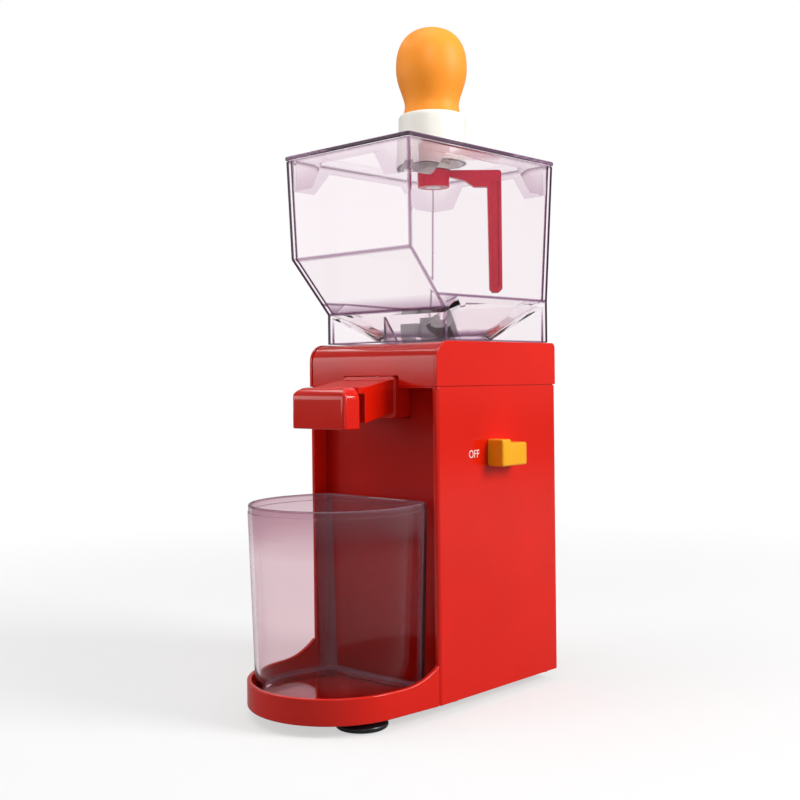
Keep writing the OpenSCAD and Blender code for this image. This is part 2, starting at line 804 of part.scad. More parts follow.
module wiper_disc() {
    color("#d8d8d4") place() translate([0, axis_y, wiper_z0]) difference() {
        union() {
            cylinder(h = wiper_h, r = 9);
            for (k = [0:2]) rotate(120 * k) block(0, wiper_r - 0.6, -2, 2, 0, wiper_h - 1);
        }
        translate([0, 0, -cut]) cylinder(h = wiper_h + 2 * cut, r = shaft_r + 0.02);
    }
}

module grinder_shaft() {
    color("#9a9da2") place() drum(0, axis_y, shaft_end_z, feed_z1 - 2.5, shaft_r);
}

module shaft_seal() {
    color("#222226") place() difference() {
        drum(0, axis_y, chamber_floor_z - seal_h, chamber_floor_z, seal_r - 0.02);
        drum(0, axis_y, chamber_floor_z - seal_h - cut, chamber_floor_z + cut, shaft_r + run_gap);
    }
}

module shaft_bush() {
    color("#b08a4a") place() difference() {
        drum(0, axis_y, gear_cover_z0, boss_z1, shaft_r + 3);
        drum(0, axis_y, gear_cover_z0 - cut, boss_z1 + cut, shaft_r + run_gap);
    }
}

// ---- spout ----

module spout() {
    mouth_x0 = tunnel_w / 2;
    color("#d2200f") place() difference() {
        union() {
            along_y(root_front, panel_y + 0.5) round_rect(-spout_w / 2, spout_w / 2, root_z0, root_z1, root_r);
            along_x(-chute_w / 2, chute_w / 2) polygon([
                [0, chute_z1], [0, chute_z0], [chute_end, chute_end_z0], [chute_end, chute_end_z1]
            ]);
            // tongue that carries the end cap
            block(-tongue_x, tongue_x, cap_front + spout_t + panel_gap, chute_end + 2,
                  cap_z1 - 2 * spout_t - panel_gap, cap_z1 - spout_t - panel_gap);
            block(-chute_w / 2, chute_w / 2, cap_back + panel_gap, chute_end + 2,
                  cap_z1 - spout_t - panel_gap - 0.5, cap_z1);
        }
        // channel, from the chamber's tunnel to the open end
        along_x(-mouth_x0, mouth_x0) polygon([
            [panel_y + cut, tunnel_z1], [panel_y + cut, tunnel_z0],
            [0, chute_z0 + spout_t], [chute_end - cut, chute_end_z0 + spout_t - 0.2],
            [chute_end - cut, cap_z1 - 2 * spout_t - 0.6], [0, tunnel_z1]
        ]);
    }
}

module spout_cap() {
    color("#c41c0e") place() difference() {
        intersection() {
            along_y(cap_front, cap_back) union() {
                round_rect(-spout_w / 2, spout_w / 2, cap_z0, cap_z1, cap_r);
                translate([-spout_w / 2, cap_z0]) square([spout_w, cap_h / 2]);
            }
            along_x(-spout_w, spout_w) union() {
                translate([cap_front + cap_r, cap_z0]) square([cap_d - cap_r, cap_h]);
                translate([cap_front, cap_z0]) square([cap_d, cap_h - cap_r]);
                translate([cap_front + cap_r, cap_z1 - cap_r]) circle(cap_r, $fn = fine);
            }
            translate([0, 0, cap_z0 - cut]) linear_extrude(cap_h + 2 * cut)
                round_rect(-spout_w / 2, spout_w / 2, cap_front, cap_back + cap_r, 2.5);
        }
        block(-spout_w / 2 + spout_t, spout_w / 2 - spout_t, cap_front + spout_t, cap_back + cut,
              cap_z0 - cut, cap_z1 - spout_t - 2.2);
        block(-tongue_x - panel_gap, tongue_x + panel_gap, cap_front + spout_t, cap_back + cut,
              cap_z0 - cut, cap_z1 - spout_t);
    }
}

// ---- drive ----

module two_drums(z0, z1, r) {
    drum(0, axis_y, z0, z1, r, fine);
    drum(idler[0], idler[1], z0, z1, r, fine);
}

module gearbox_case() {
    color("#2c2c30") place() difference() {
        two_drums(case_z0, gear_cover_z0, case_r + case_t);
        two_drums(case_floor_z, gear_cover_z0 + cut, case_r);
        drum(0, axis_y, case_z0 - cut, case_floor_z + cut, motor_shaft_r + 1);
        drum(idler[0], idler[1], case_z0 + 1, case_floor_z + cut, pin_r, small);
        for (a = motor_screws) translate([0, axis_y, 0]) rotate(a)
            drum(motor_r - 9, 0, case_z0 - cut, case_floor_z + cut, screw_r, small);
    }
}

module gearbox_cover() {
    color("#34343a") place() difference() {
        union() {
            linear_extrude(gear_cover_z0 + cover_t) difference() {
                round_rect(-post_x - 4.5, post_x + 4.5, post_front_y - 4.5, post_back_y + 4.5, 4);
            }
            drum(0, axis_y, gear_cover_z0, boss_z1, shaft_r + 6);
            drum(idler[0], idler[1], gear_cover_z0, gear_cover_z0 + cover_t, case_r + case_t, fine);
            at_posts() translate([0, 0, gear_cover_z0])
                cylinder(h = deck_z - gear_cover_z0, r = post_r, $fn = small);
        }
        block(-body_w, body_w, -body_d, 2 * body_d, -cut, gear_cover_z0);
        drum(0, axis_y, gear_cover_z0 - cut, boss_z1 + cut, shaft_r + 3.02);
        drum(idler[0], idler[1], gear_cover_z0 - cut, gear_cover_z0 + 3, pin_r, small);
        at_posts() translate([0, 0, deck_z - pilot_h])
            cylinder(h = pilot_h + cut, r = screw_r, $fn = small);
    }
}

module gearbox_screws() {
    color("#8a8c90") place() translate([0, axis_y, 0]) for (a = motor_screws) rotate(a)
        translate([motor_r - 9, 0, 0]) screw_up(0, 0, case_floor_z, case_floor_t + 2.5, -1);
}

module output_gear() {
    color("#d9d4c4") place() translate([0, axis_y, 0]) difference() {
        spur(wheel_z, gear_m, idler_dir, high_gear_z0, high_gear_z1);
        drum(0, 0, high_gear_z0 - cut, high_gear_z1 + cut, shaft_r + 0.02);
        for (k = [0:5]) rotate(60 * k) drum(wheel_r * 0.56, 0, high_gear_z0 - cut, high_gear_z1 + cut, 3, small);
    }
}

module idler_gear() {
    color("#cfcabb") place() translate([idler[0], idler[1], 0]) difference() {
        union() {
            spur(wheel_z, gear_m, idler_dir + 180, low_gear_z0, low_gear_z1);
            spur(pinion_z, gear_m, idler_dir + 180 + 180 / pinion_z, low_gear_z1, high_gear_z1);
        }
        drum(0, 0, low_gear_z0 - cut, high_gear_z1 + cut, pin_r + run_gap, small);
    }
}

module idler_pin() {
    color("#9a9da2") place() drum(idler[0], idler[1], case_z0 + 1, gear_cover_z0 + 3, pin_r - 0.02, small);
}

module motor_pinion() {
    color("#8f9298") place() translate([0, axis_y, 0]) difference() {
        spur(pinion_z, gear_m, idler_dir + 180 / pinion_z, low_gear_z0, low_gear_z1 + 1);
        drum(0, 0, low_gear_z0 - cut, low_gear_z1 + 2 * cut, motor_shaft_r + 0.02, small);
    }
}

module motor_bracket() {
    color("#8c9096") place() difference() {
        drum(0, axis_y, motor_z1, motor_z1 + bracket_t, motor_r + 1.5, fine);
        drum(0, axis_y, motor_z1 - cut, case_z0 + cut, motor_shaft_r + 1, small);
        translate([0, axis_y, 0]) for (a = motor_screws) rotate(a)
            drum(motor_r - 9, 0, motor_z1 - cut, case_z0 + cut, screw_r, small);
    }
}

module motor_can() {
    color("#8a8e94") place() difference() {
        drum(0, axis_y, motor_z0, motor_z1, motor_r, fine);
        drum(0, axis_y, motor_z0 - cut, motor_z1 - can_t, motor_r - can_t, fine);
        drum(0, axis_y, motor_z1 - can_t - cut, motor_z1 + cut, motor_shaft_r + 0.5, small);
    }
}

module motor_end_cap() {
    color("#2a2a2e") place() difference() {
        union() {
            drum(0, axis_y, end_cap_z0, motor_z0, motor_r, fine);
            drum(0, axis_y, end_cap_z0, end_cap_z0 + end_cap_t, motor_r - can_t - 0.1, fine);
        }
        drum(0, axis_y, end_cap_z0 - cut, end_cap_z0 + end_cap_t + cut, motor_shaft_r + 0.5, small);
        drum(0, axis_y, end_cap_z0 + 1, end_cap_z0 + end_cap_t + cut, bearing_r, small);
        translate([0, axis_y, 0]) for (k = [0:5]) rotate(60 * k)
            drum(0.62 * motor_r, 0, end_cap_z0 - cut, end_cap_z0 + end_cap_t + cut, 2.5, small);
    }
}

module motor_bearings() {
    color("#b08a4a") place() for (z = [end_cap_z0 + 1, motor_z1 - can_t - bearing_h]) difference() {
        drum(0, axis_y, z, z + bearing_h, bearing_r - 0.02, small);
        drum(0, axis_y, z - cut, z + bearing_h + cut, motor_shaft_r + run_gap, small);
    }
}

module motor_magnets() {
    r_out = motor_r - can_t - 0.02;
    color("#3c3c42") place() translate([0, axis_y, stack_z0 - 2]) for (s = [0, 180]) rotate(s)
        rotate([0, 0, -magnet_turn]) rotate_extrude(angle = 2 * magnet_turn, $fn = fine)
            translate([r_out - magnet_t, 0]) square([magnet_t, stack_h + 4]);
}

module motor_rotor() {
    color("#7d7f84") place() translate([0, axis_y, 0]) {
        drum(0, 0, motor_shaft_z0, motor_shaft_z1, motor_shaft_r, small);
        difference() {
            drum(0, 0, stack_z0, stack_z0 + stack_h, rotor_r, fine);
            for (k = [0:9]) rotate(36 * k) block(rotor_r - 6, rotor_r + cut, -0.9, 0.9, stack_z0 - cut, stack_z0 + stack_h + cut);
        }
        drum(0, 0, stack_z0 - 4, stack_z0 + stack_h + 4, rotor_r - 5);
        drum(0, 0, stack_z0 - 9, stack_z0 - 3, 0.45 * rotor_r);
    }
}

module cooling_fan() {
    color("#dcdcd6") place() translate([0, axis_y, fan_z0]) difference() {
        union() {
            cylinder(h = fan_h, r = 5);
            for (k = [0:8]) rotate(40 * k) translate([4, -0.6, 0]) rotate([0, 0, 12]) cube([fan_r - 5, 1.2, fan_h - 1]);
            cylinder(h = 1, r = fan_r - 4);
        }
        translate([0, 0, -cut]) cylinder(h = fan_h + 2 * cut, r = motor_shaft_r + 0.02, $fn = small);
    }
}

// ---- switch and board ----

module switch_knob() {
    h = switch_h / 2;
    tail_y = switch_y + grip_l;
    color("#f5a11a") place() {
        along_y(switch_y, tail_y) round_rect(switch_face, switch_x1, switch_z - h, switch_z + h, 1.2);
        along_y(tail_y, switch_y + switch_l)
            round_rect(switch_face, switch_x1 - 0.8, switch_z - h + 0.2, switch_z - h + 0.2 + tail_h, 1.2);
        block(half_w - stem_deep, switch_face + 1, stem_y, stem_y + stem_l,
              switch_z - stem_h / 2, switch_z + stem_h / 2);
    }
}

module switch_body() {
    z0 = switch_z - switch_body_h / 2;
    z1 = switch_z + switch_body_h / 2;
    color("#26262a") place() difference() {
        block(switch_body_x0, inner_x, stem_y - 4, stem_y + stem_l + switch_travel + 4, z0, z1);
        block(half_w - stem_deep - 0.5, inner_x + cut, stem_y - slot_play,
              stem_y + stem_l + switch_travel + slot_play,
              switch_z - stem_h / 2 - slot_play, switch_z + stem_h / 2 + slot_play);
    }
}

module rectifier_board() {
    color("#2f6b3a") place() translate([-inner_x, axis_y, board_z]) {
        block(board_out, board_out + board_t, -board_w / 2, board_w / 2, 0, board_h);
        for (y = [-board_w / 2 + board_edge, board_w / 2 - board_edge], z = [board_edge, board_h - board_edge])
            translate([0, y, z]) rotate([0, 90, 0])
                cylinder(h = board_out + board_t / 2, r = board_out + 0.5, $fn = small);
        translate([board_out + board_t / 2, 0, 0]) {
            block(0, chip_h, -0.3 * board_w, 0.1 * board_w, 0.58 * board_h, 0.8 * board_h);
            translate([0, 0.2 * board_w, 0.3 * board_h]) rotate([0, 90, 0])
                cylinder(h = chip_h + 2, r = chip_h, $fn = small);
        }
    }
}

// ---- hopper ----

// Side view (y, z) of the hopper, inset by t; up lifts the top edge
module hopper_side(t, up) {
    slant_run = skirt_y - slant_y;
    slant_fall = slant_z1 - slant_z0;
    shift = t * norm([slant_run, slant_fall]) / slant_fall;
    bend_z = slant_z1 + (shift - t) * slant_fall / slant_run;
    corner_z = slant_z0 + (shift - t) * slant_fall / slant_run;
    polygon([
        [mouth_y0 + t, mouth_top + up], [slant_y + t, bend_z], [skirt_y + t, corner_z],
        [skirt_y + t, seat_z - up], [skirt_y1 - t, seat_z - up],
        [skirt_y1 - t, floor_z], [mouth_y1 - t, mouth_top + up]
    ]);
}

// Front view (x, z) of the hopper, inset by t
module hopper_front(t, up) {
    polygon([
        [skirt_x - t, seat_z - up], [skirt_x - t, floor_z], [mouth_x - t, mouth_top + up],
        [-mouth_x + t, mouth_top + up], [-skirt_x + t, floor_z], [-skirt_x + t, seat_z - up]
    ]);
}

// The hopper's body with its skirt: both views crossed
module hopper_body(t, up = 0) {
    intersection() {
        along_x(-body_w, body_w) hopper_side(t, up);
        along_y(-body_d, 2 * body_d) hopper_front(t, up);
    }
}

// Funnel from the walls' foot to the round throat; drop lowers it
module hopper_funnel(t, drop) {
    x = skirt_x - t;
    y0 = slant_y + t + (skirt_y - slant_y) * (slant_z1 - floor_z) / (slant_z1 - slant_z0);
    front_z = slant_z0 + (t > 0 ? 0.8 : 0) - drop / 2;
    hull() {
        translate([-x, y0 + t / 2, floor_z - 0.01]) cube([2 * x, skirt_y1 - y0 - 1.5 * t, 0.01]);
        translate([-x, skirt_y + t, front_z]) cube([2 * x, 1, 0.01]);
        drum(0, axis_y, throat_z1 - drop, throat_z1 - drop + 0.01, throat_r + drop, 48);
    }
}

module hopper() {
    color([0.86, 0.80, 0.90, 0.35]) place() difference() {
        union() {
            difference() {
                hopper_body(0);
                // hollow above the floor
                intersection() {
                    hopper_body(hopper_t, cut);
                    block(-body_w, body_w, -body_d, 2 * body_d, floor_z, mouth_top + 2 * cut);
                }
                // hollow of the skirt, around the funnel
                difference() {
                    block(-skirt_x + hopper_t, skirt_x - hopper_t, skirt_y + hopper_t,
                          skirt_y1 - hopper_t, seat_z - cut, floor_z - 0.5);
                    hopper_funnel(0, hopper_t);
                    block(-rib_t / 2, rib_t / 2, skirt_y, axis_y - throat_out_r + 0.5, seat_z - 2 * cut, floor_z);
                }
            }
            drum(0, axis_y, throat_z0, throat_z1 + 2, throat_out_r, fine);
        }
        hopper_funnel(hopper_t, 0);
        drum(0, axis_y, throat_z0 - cut, throat_z1 + cut, throat_r, fine);
    }
}

// ---- lid and stirrer ----

module hopper_lid() {
    x0 = mouth_x - lip_out;
    y0 = mouth_y0 + lip_out;
    y1 = mouth_y1 - lip_out;
    color([0.88, 0.83, 0.92, 0.35]) place() difference() {
        union() {
            block(-mouth_x - lid_over, mouth_x + lid_over, mouth_y0 - lid_over, mouth_y1 + lid_over,
                  lid_z0, lid_z1);
            difference() {
                block(-x0, x0, y0, y1, lid_z0 - lip_h, lid_z0 + 0.5);
                block(-x0 + lip_t, x0 - lip_t, y0 + lip_t, y1 - lip_t, lid_z0 - lip_h - cut, lid_z0 + cut);
            }
            // corner tabs
            for (sx = [-1, 1], sy = [0, 1]) {
                xa = sx < 0 ? -x0 : x0 - tab_w;
                ya = sy < 1 ? y0 : y1 - tab_w;
                block(xa, xa + tab_w, sy < 1 ? y0 : y1 - lip_t, sy < 1 ? y0 + lip_t : y1, lid_z0 - tab_h, lid_z0 + 0.5);
                block(sx < 0 ? -x0 : x0 - lip_t, sx < 0 ? -x0 + lip_t : x0, ya, ya + tab_w, lid_z0 - tab_h, lid_z0 + 0.5);
            }
        }
        drum(0, axis_y, lid_z0 - cut, lid_z1 + cut, neck_r + 0.02);
    }
}

module stir_collar() {
    color("#f4f1e8") place() translate([0, axis_y, 0]) difference() {
        union() {
            drum(0, 0, lid_z1, collar_z1 - 1.5, collar_r, fine);
            translate([0, 0, collar_z1 - 1.5]) cylinder(h = 1.5, r1 = collar_r, r2 = collar_r - 1.2, $fn = fine);
            drum(0, 0, neck_z0, lid_z1 + cut, neck_r, fine);
        }
        drum(0, 0, neck_z0 - cut, collar_z1 + cut, spindle_r + run_gap);
        // hollow of the moulding, open below a roof and round the neck
        difference() {
            drum(0, 0, lid_z1 - cut, collar_z1 - 3, collar_r - 2.2, fine);
            drum(0, 0, lid_z1 - 2 * cut, collar_z1, neck_r, fine);
        }
    }
}

// Radius of the knob at height h above its foot: a full dome on a swelling neck
function knob_at(h) =
    h > bulb_z ? knob_r * pow(max(0, 1 - pow((h - bulb_z) / (knob_h - bulb_z), dome_power)), 1 / dome_power) :
    h > waist_z ? waist_r + (knob_r - waist_r) *
        (1 - cos(180 * pow((h - waist_z) / (bulb_z - waist_z), neck_power))) / 2 :
    waist_r + foot_flare * (1 - cos(90 * (waist_z - h) / waist_z));

module stir_knob() {
    steps = 36;
    top = knob_h * (1 - cos(180 * (steps - 1) / steps)) / 2;
    color("#ff9a2e") place() translate([0, axis_y, knob_z0]) difference() {
        rotate_extrude($fn = fine) polygon(concat(
            [[0, 0]],
            [for (k = [0:steps - 1]) let (h = knob_h * (1 - cos(180 * k / steps)) / 2) [knob_at(h), h]],
            [[0, top]]
        ));
        translate([0, 0, -cut]) cylinder(h = bulb_z + cut + 0.2, r = spindle_r + 0.02);
    }
}

module stir_spindle() {
    color("#a4a7ac") place() drum(0, axis_y, spindle_z0, spindle_z1, spindle_r);
}

module stir_arm() {
    r0 = arm_r - bar_w;
    color("#b8232f") place() translate([0, axis_y, 0]) rotate(arm_turn) difference() {
        union() {
            drum(0, 0, arm_top - arm_deep, arm_top, neck_r - 0.5);
            // arm, gusset and bar
            translate([0, bar_t / 2, 0]) rotate([90, 0, 0]) linear_extrude(bar_t) polygon([
                [0, arm_top], [arm_r - 1, arm_top], [arm_r, arm_top - 1], [arm_r, arm_low + 2],
                [arm_r - 2, arm_low], [r0 + 2, arm_low], [r0 + 0.6, arm_low + 2], [r0, arm_top - arm_deep],
                [r0 - 7, arm_top - arm_deep], [r0 - 12, arm_top - 5.5], [neck_r - 2, arm_top - 3], [0, arm_top - 3]
            ]);
        }
        drum(0, 0, spindle_z0 - cut, arm_top + cut, spindle_r + 0.02);
        // grooves along both faces of the bar
        for (s = [-1, 1]) block(r0 + 2.3, arm_r - 1.8, s < 0 ? -bar_t : bar_t / 2 - 1, s < 0 ? -bar_t / 2 + 1 : bar_t,
                                arm_low + 3, arm_top - 6);
    }
}

// ---- cup ----

// Thin slab of the cup's plan; part runs from 0 at the foot to 1 at the rim
module cup_slab(z, part, inset) {
    draft = cup_draft * (1 - part);
    hx = cup_back_x - draft - inset;
    corner = 6;
    r = cup_r - draft - inset;
    translate([0, 0, z - 0.01]) linear_extrude(0.01) {
        intersection() {
            translate([0, cup_cy]) circle(r, $fn = 72);
            translate([-r, cup_cy - 2 * r]) square([2 * r, 2 * r]);
        }
        translate([-hx, cup_cy]) square([2 * hx, cup_y1 - inset - cup_cy - corner]);
        translate([-hx + corner, cup_cy]) square([2 * (hx - corner), cup_y1 - inset - cup_cy]);
        for (s = [-1, 1]) translate([s * (hx - corner), cup_y1 - inset - corner]) circle(corner, $fn = small);
    }
}

module cup() {
    floor_part = cup_floor / cup_h;
    color([0.84, 0.80, 0.90, 0.35]) place() difference() {
        hull() {
            cup_slab(cup_z0, 0, 1.2);
            cup_slab(cup_z0 + 1.5, 0, 0);
            cup_slab(cup_z0 + cup_h, 1, 0);
        }
        hull() {
            cup_slab(cup_z0 + cup_floor, floor_part, cup_wall + 1);
            cup_slab(cup_z0 + cup_floor + 1.5, floor_part, cup_wall);
            cup_slab(cup_z0 + cup_h + cut, 1 + cut / cup_h, cup_wall);
        }
    }
}

lower_housing();
recess_panel();
rear_cover();
base_tray();
front_feet();
rear_feet();
deck();
head_cover();
head_side_left();
head_side_right();
grinding_chamber();
burr_ring();
burr_cone();
feed_screw();
wiper_disc();
grinder_shaft();
shaft_seal();
shaft_bush();
gearbox_case();
gearbox_cover();
output_gear();
idler_gear();
idler_pin();
motor_pinion();
motor_bracket();
motor_can();
motor_end_cap();
motor_magnets();
motor_rotor();
motor_bearings();
cooling_fan();
switch_knob();
switch_body();
rectifier_board();
cord_inlet();
spout();
spout_cap();
hopper();
hopper_lid();
stir_collar();
stir_knob();
stir_arm();
stir_spindle();
cup();
base_screws();
rear_screws();
deck_screws();
gearbox_screws();
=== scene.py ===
"""Looks of the nut butter grinder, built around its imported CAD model.

Every visible piece is either a surface worked out here with numpy, or a copy of its CAD solid with
the edges rounded as a moulding's are. Lengths in the classes are millimetres in the housing's own
frame: x = 0 on the middle plane, y = 0 on the housing's front edges, z = 0 under the housing.
``HousingFrame.place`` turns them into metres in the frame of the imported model.
"""

import json  # noqa: E402
import logging  # noqa: E402
import math  # noqa: E402
from dataclasses import dataclass, field  # noqa: E402
from enum import Enum  # noqa: E402

import bmesh  # noqa: E402
import bpy  # noqa: E402
import numpy as np  # noqa: E402
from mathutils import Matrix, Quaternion, Vector  # noqa: E402


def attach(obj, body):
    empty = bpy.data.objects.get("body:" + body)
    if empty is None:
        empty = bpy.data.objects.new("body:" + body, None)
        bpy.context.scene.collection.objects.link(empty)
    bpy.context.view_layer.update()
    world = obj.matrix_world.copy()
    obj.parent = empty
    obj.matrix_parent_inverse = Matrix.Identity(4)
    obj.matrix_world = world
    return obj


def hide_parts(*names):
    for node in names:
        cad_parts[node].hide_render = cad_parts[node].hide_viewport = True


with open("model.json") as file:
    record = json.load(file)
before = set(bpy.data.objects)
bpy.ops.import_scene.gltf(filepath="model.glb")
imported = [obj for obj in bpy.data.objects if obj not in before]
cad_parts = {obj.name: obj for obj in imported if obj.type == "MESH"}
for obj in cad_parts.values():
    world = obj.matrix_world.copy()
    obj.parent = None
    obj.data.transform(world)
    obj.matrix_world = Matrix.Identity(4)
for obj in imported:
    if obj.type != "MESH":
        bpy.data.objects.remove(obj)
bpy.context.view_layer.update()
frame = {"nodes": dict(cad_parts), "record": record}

MM = 0.001
Pair = tuple[float, float]
Triple = tuple[float, float, float]
Socket = bpy.types.NodeSocket
Node = bpy.types.Node
Material = bpy.types.Material
Mesh = bpy.types.Mesh
Piece = bpy.types.Object
MERGE = 1e-7  # points closer than this, in metres, become one
CAD_MERGE = 2e-6  # the same for the triangles of a CAD solid
FLAT_WITHIN = 0.4  # triangles that turn by fewer degrees than this are one flat face
ROUND_FROM = 38.0  # edges that turn by more degrees than this are rounded
ROUND_STEPS = 3  # faces across a rounded edge
log = logging.getLogger("grinder")


# ---- frame and meshes


@dataclass(frozen=True)
class HousingFrame:
    """Where the housing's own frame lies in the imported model, in millimetres.

    The model stands on its feet with its box centred, so the shift follows from the switch's
    reach to one side, from the tray's front and the lid's back, and from the feet's height.
    """

    switch_out: float = 9.8
    front: float = -68.4
    back: float = 97.9
    foot: float = 5.0

    def shift(self) -> np.ndarray:
        """Returns the shift from the housing's frame to the model's, in millimetres."""
        return np.array([-self.switch_out / 2, -(self.front + self.back) / 2, self.foot])

    def place(self, points: np.ndarray) -> np.ndarray:
        """Moves points of the housing's frame into the model's.

        Args:
            points: Array whose last axis is (x, y, z) in millimetres.

        Returns:
            The same points in metres in the model's frame.
        """
        return (np.asarray(points, float) + self.shift()) * MM


HOME = HousingFrame()


class Skin(Enum):
    """How the faces of a new mesh are shaded."""

    SMOOTH = 180.0
    CREASED = 32.0


def new_object(name: str, data: bpy.types.ID) -> Piece:
    """Makes an object and links it to the scene.

    Args:
        name: Name of the object.
        data: The mesh, text, lamp or camera that it shows.

    Returns:
        The new object, at the origin.
    """
    made = bpy.data.objects.new(name, data)
    bpy.context.scene.collection.objects.link(made)
    return made


def shade(mesh: Mesh, skin: Skin) -> None:
    """Shades a mesh smooth.

    Args:
        mesh: The mesh to shade.
        skin: Edges sharper than its angle stay sharp.
    """
    mesh.polygons.foreach_set("use_smooth", np.ones(len(mesh.polygons), bool))
    if skin is not Skin.SMOOTH:
        mesh.set_sharp_from_angle(angle=math.radians(skin.value))
    mesh.update()


def clean(mesh: Mesh) -> None:
    """Merges the doubles of a mesh, drops what has no area and turns its faces outwards.

    Args:
        mesh: The closed mesh to clean.
    """
    work = bmesh.new()
    work.from_mesh(mesh)
    bmesh.ops.remove_doubles(work, verts=work.verts, dist=MERGE)
    bmesh.ops.dissolve_degenerate(work, edges=work.edges, dist=MERGE)
    bmesh.ops.recalc_face_normals(work, faces=work.faces)
    work.to_mesh(mesh)
    work.free()


def grid_piece(name: str, rows: np.ndarray, closed_rows: bool = False, skin: Skin = Skin.CREASED,
               edge: np.ndarray | None = None) -> Piece:
    """Makes a piece from a grid of points.

    Each row is a closed ring of points, and each four neighbours make one face:
    (i, j), (i, j + 1), (i + 1, j + 1), (i + 1, j), with j counted round the ring.

    Args:
        name: Name of the piece.
        rows: Array (rows, ring, 3), millimetres in the housing's frame.
        closed_rows: True where the last row joins the first.
        skin: How the faces are shaded.
        edge: Array (rows, ring), how deep the plastic's tint is at each point, from 0 to 1.

    Returns:
        The new object, at the origin.
    """
    count, ring, _ = rows.shape
    i, j = np.meshgrid(np.arange(count if closed_rows else count - 1), np.arange(ring), indexing="ij")
    below, beside = (i + 1) % count, (j + 1) % ring
    faces = np.stack([i * ring + j, i * ring + beside, below * ring + beside, below * ring + j], -1)
    mesh = bpy.data.meshes.new(name)
    mesh.from_pydata(HOME.place(rows.reshape(-1, 3)).tolist(), [], faces.reshape(-1, 4).tolist())
    if edge is not None:
        mesh.attributes.new("edge", "FLOAT", "POINT").data.foreach_set("value", edge.ravel())
    clean(mesh)
    shade(mesh, skin)
    return new_object(name, mesh)


def rounded(outline: np.ndarray, radius: np.ndarray | float, steps: int = 5,
            closed: bool = False) -> np.ndarray:
    """Rounds the corners of an outline.

    Each corner P between its neighbours A and B becomes the curve
    (1 - t)^2 S + 2 t (1 - t) P + t^2 E, whose ends S and E lie on the two sides at the corner's
    radius from P, or at 45 % of the shorter side where that is less.

    Args:
        outline: Array (corners, 2).
        radius: One radius, or one for each corner.
        steps: Pieces that each curve is made of.
        closed: True where the last corner joins the first.

    Returns:
        Array (corners * (steps + 1), 2).
    """
    size = np.broadcast_to(np.asarray(radius, float), (len(outline),)).copy()
    if not closed:
        size[0] = size[-1] = 0.0
    before, after = np.roll(outline, 1, 0) - outline, np.roll(outline, -1, 0) - outline
    length_a, length_b = np.linalg.norm(before, axis=1), np.linalg.norm(after, axis=1)
    cut = np.minimum(size, 0.45 * np.minimum(length_a, length_b))[:, None]
    start = outline + before / np.maximum(length_a, 1e-9)[:, None] * cut
    end = outline + after / np.maximum(length_b, 1e-9)[:, None] * cut
    t = np.linspace(0, 1, steps + 1)[None, :, None]
    curve = ((1 - t) ** 2 * start[:, None] + 2 * t * (1 - t) * outline[:, None] + t**2 * end[:, None])
    return curve.reshape(-1, 2)


def lathe(name: str, profile: np.ndarray, centre: Pair, turns: int) -> Piece:
    """Turns a profile about an upright axis.

    A point (r, z) of the profile and an angle a give (x + r cos a, y + r sin a, z).

    Args:
        name: Name of the piece.
        profile: Array (points, 2) of radius and height, from pole to pole or closed.
        centre: The axis's x and y.
        turns: Points round the axis.

    Returns:
        The new object.
    """
    a = np.linspace(0, 2 * math.pi, turns, endpoint=False)
    r, z = profile[:, 0][:, None], profile[:, 1][:, None]
    rows = np.stack([centre[0] + r * np.cos(a), centre[1] + r * np.sin(a), z + 0 * a], -1)
    closed = bool(profile[0, 0] > 0 or profile[-1, 0] > 0)
    return grid_piece(name, rows, closed)


def softened(node: str, radius: float, flatten: bool) -> Piece:
    """Copies a CAD solid as a moulding: its flat triangles merged and its edges rounded.

    Args:
        node: The CAD node that the copy stands for.
        radius: Radius of the round, in millimetres.
        flatten: Whether its flat triangles are merged; faces with many holes keep theirs.

    Returns:
        The new object, which replaces the node.
    """
    work = bmesh.new()
    work.from_mesh(frame["nodes"][node].data)
    bmesh.ops.remove_doubles(work, verts=work.verts, dist=CAD_MERGE)
    if flatten:
        bmesh.ops.dissolve_limit(work, angle_limit=math.radians(FLAT_WITHIN), verts=work.verts,
                                 edges=work.edges)
    bmesh.ops.dissolve_degenerate(work, edges=work.edges, dist=CAD_MERGE / 2)
    mesh = bpy.data.meshes.new(node + "_moulding")
    work.to_mesh(mesh)
    work.free()
    mesh.polygons.foreach_set("use_smooth", np.ones(len(mesh.polygons), bool))
    made = new_object(mesh.name, mesh)
    bevel = made.modifiers.new("rounded_edges", "BEVEL")
    bevel.width, bevel.segments = radius * MM, ROUND_STEPS
    bevel.limit_method, bevel.angle_limit = "ANGLE", math.radians(ROUND_FROM)
    bevel.use_clamp_overlap = False
    bevel.miter_outer = "MITER_ARC"
    normals = made.modifiers.new("flat_faces_stay_flat", "WEIGHTED_NORMAL")
    normals.weight, normals.keep_sharp = 80, True
    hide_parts(node)
    return made


# ---- finishes


def rgba(colour: Triple, gain: float = 1.0) -> tuple[float, float, float, float]:
    """Returns a colour as four numbers, brightened by gain."""
    return (min(colour[0] * gain, 1.0), min(colour[1] * gain, 1.0), min(colour[2] * gain, 1.0), 1.0)


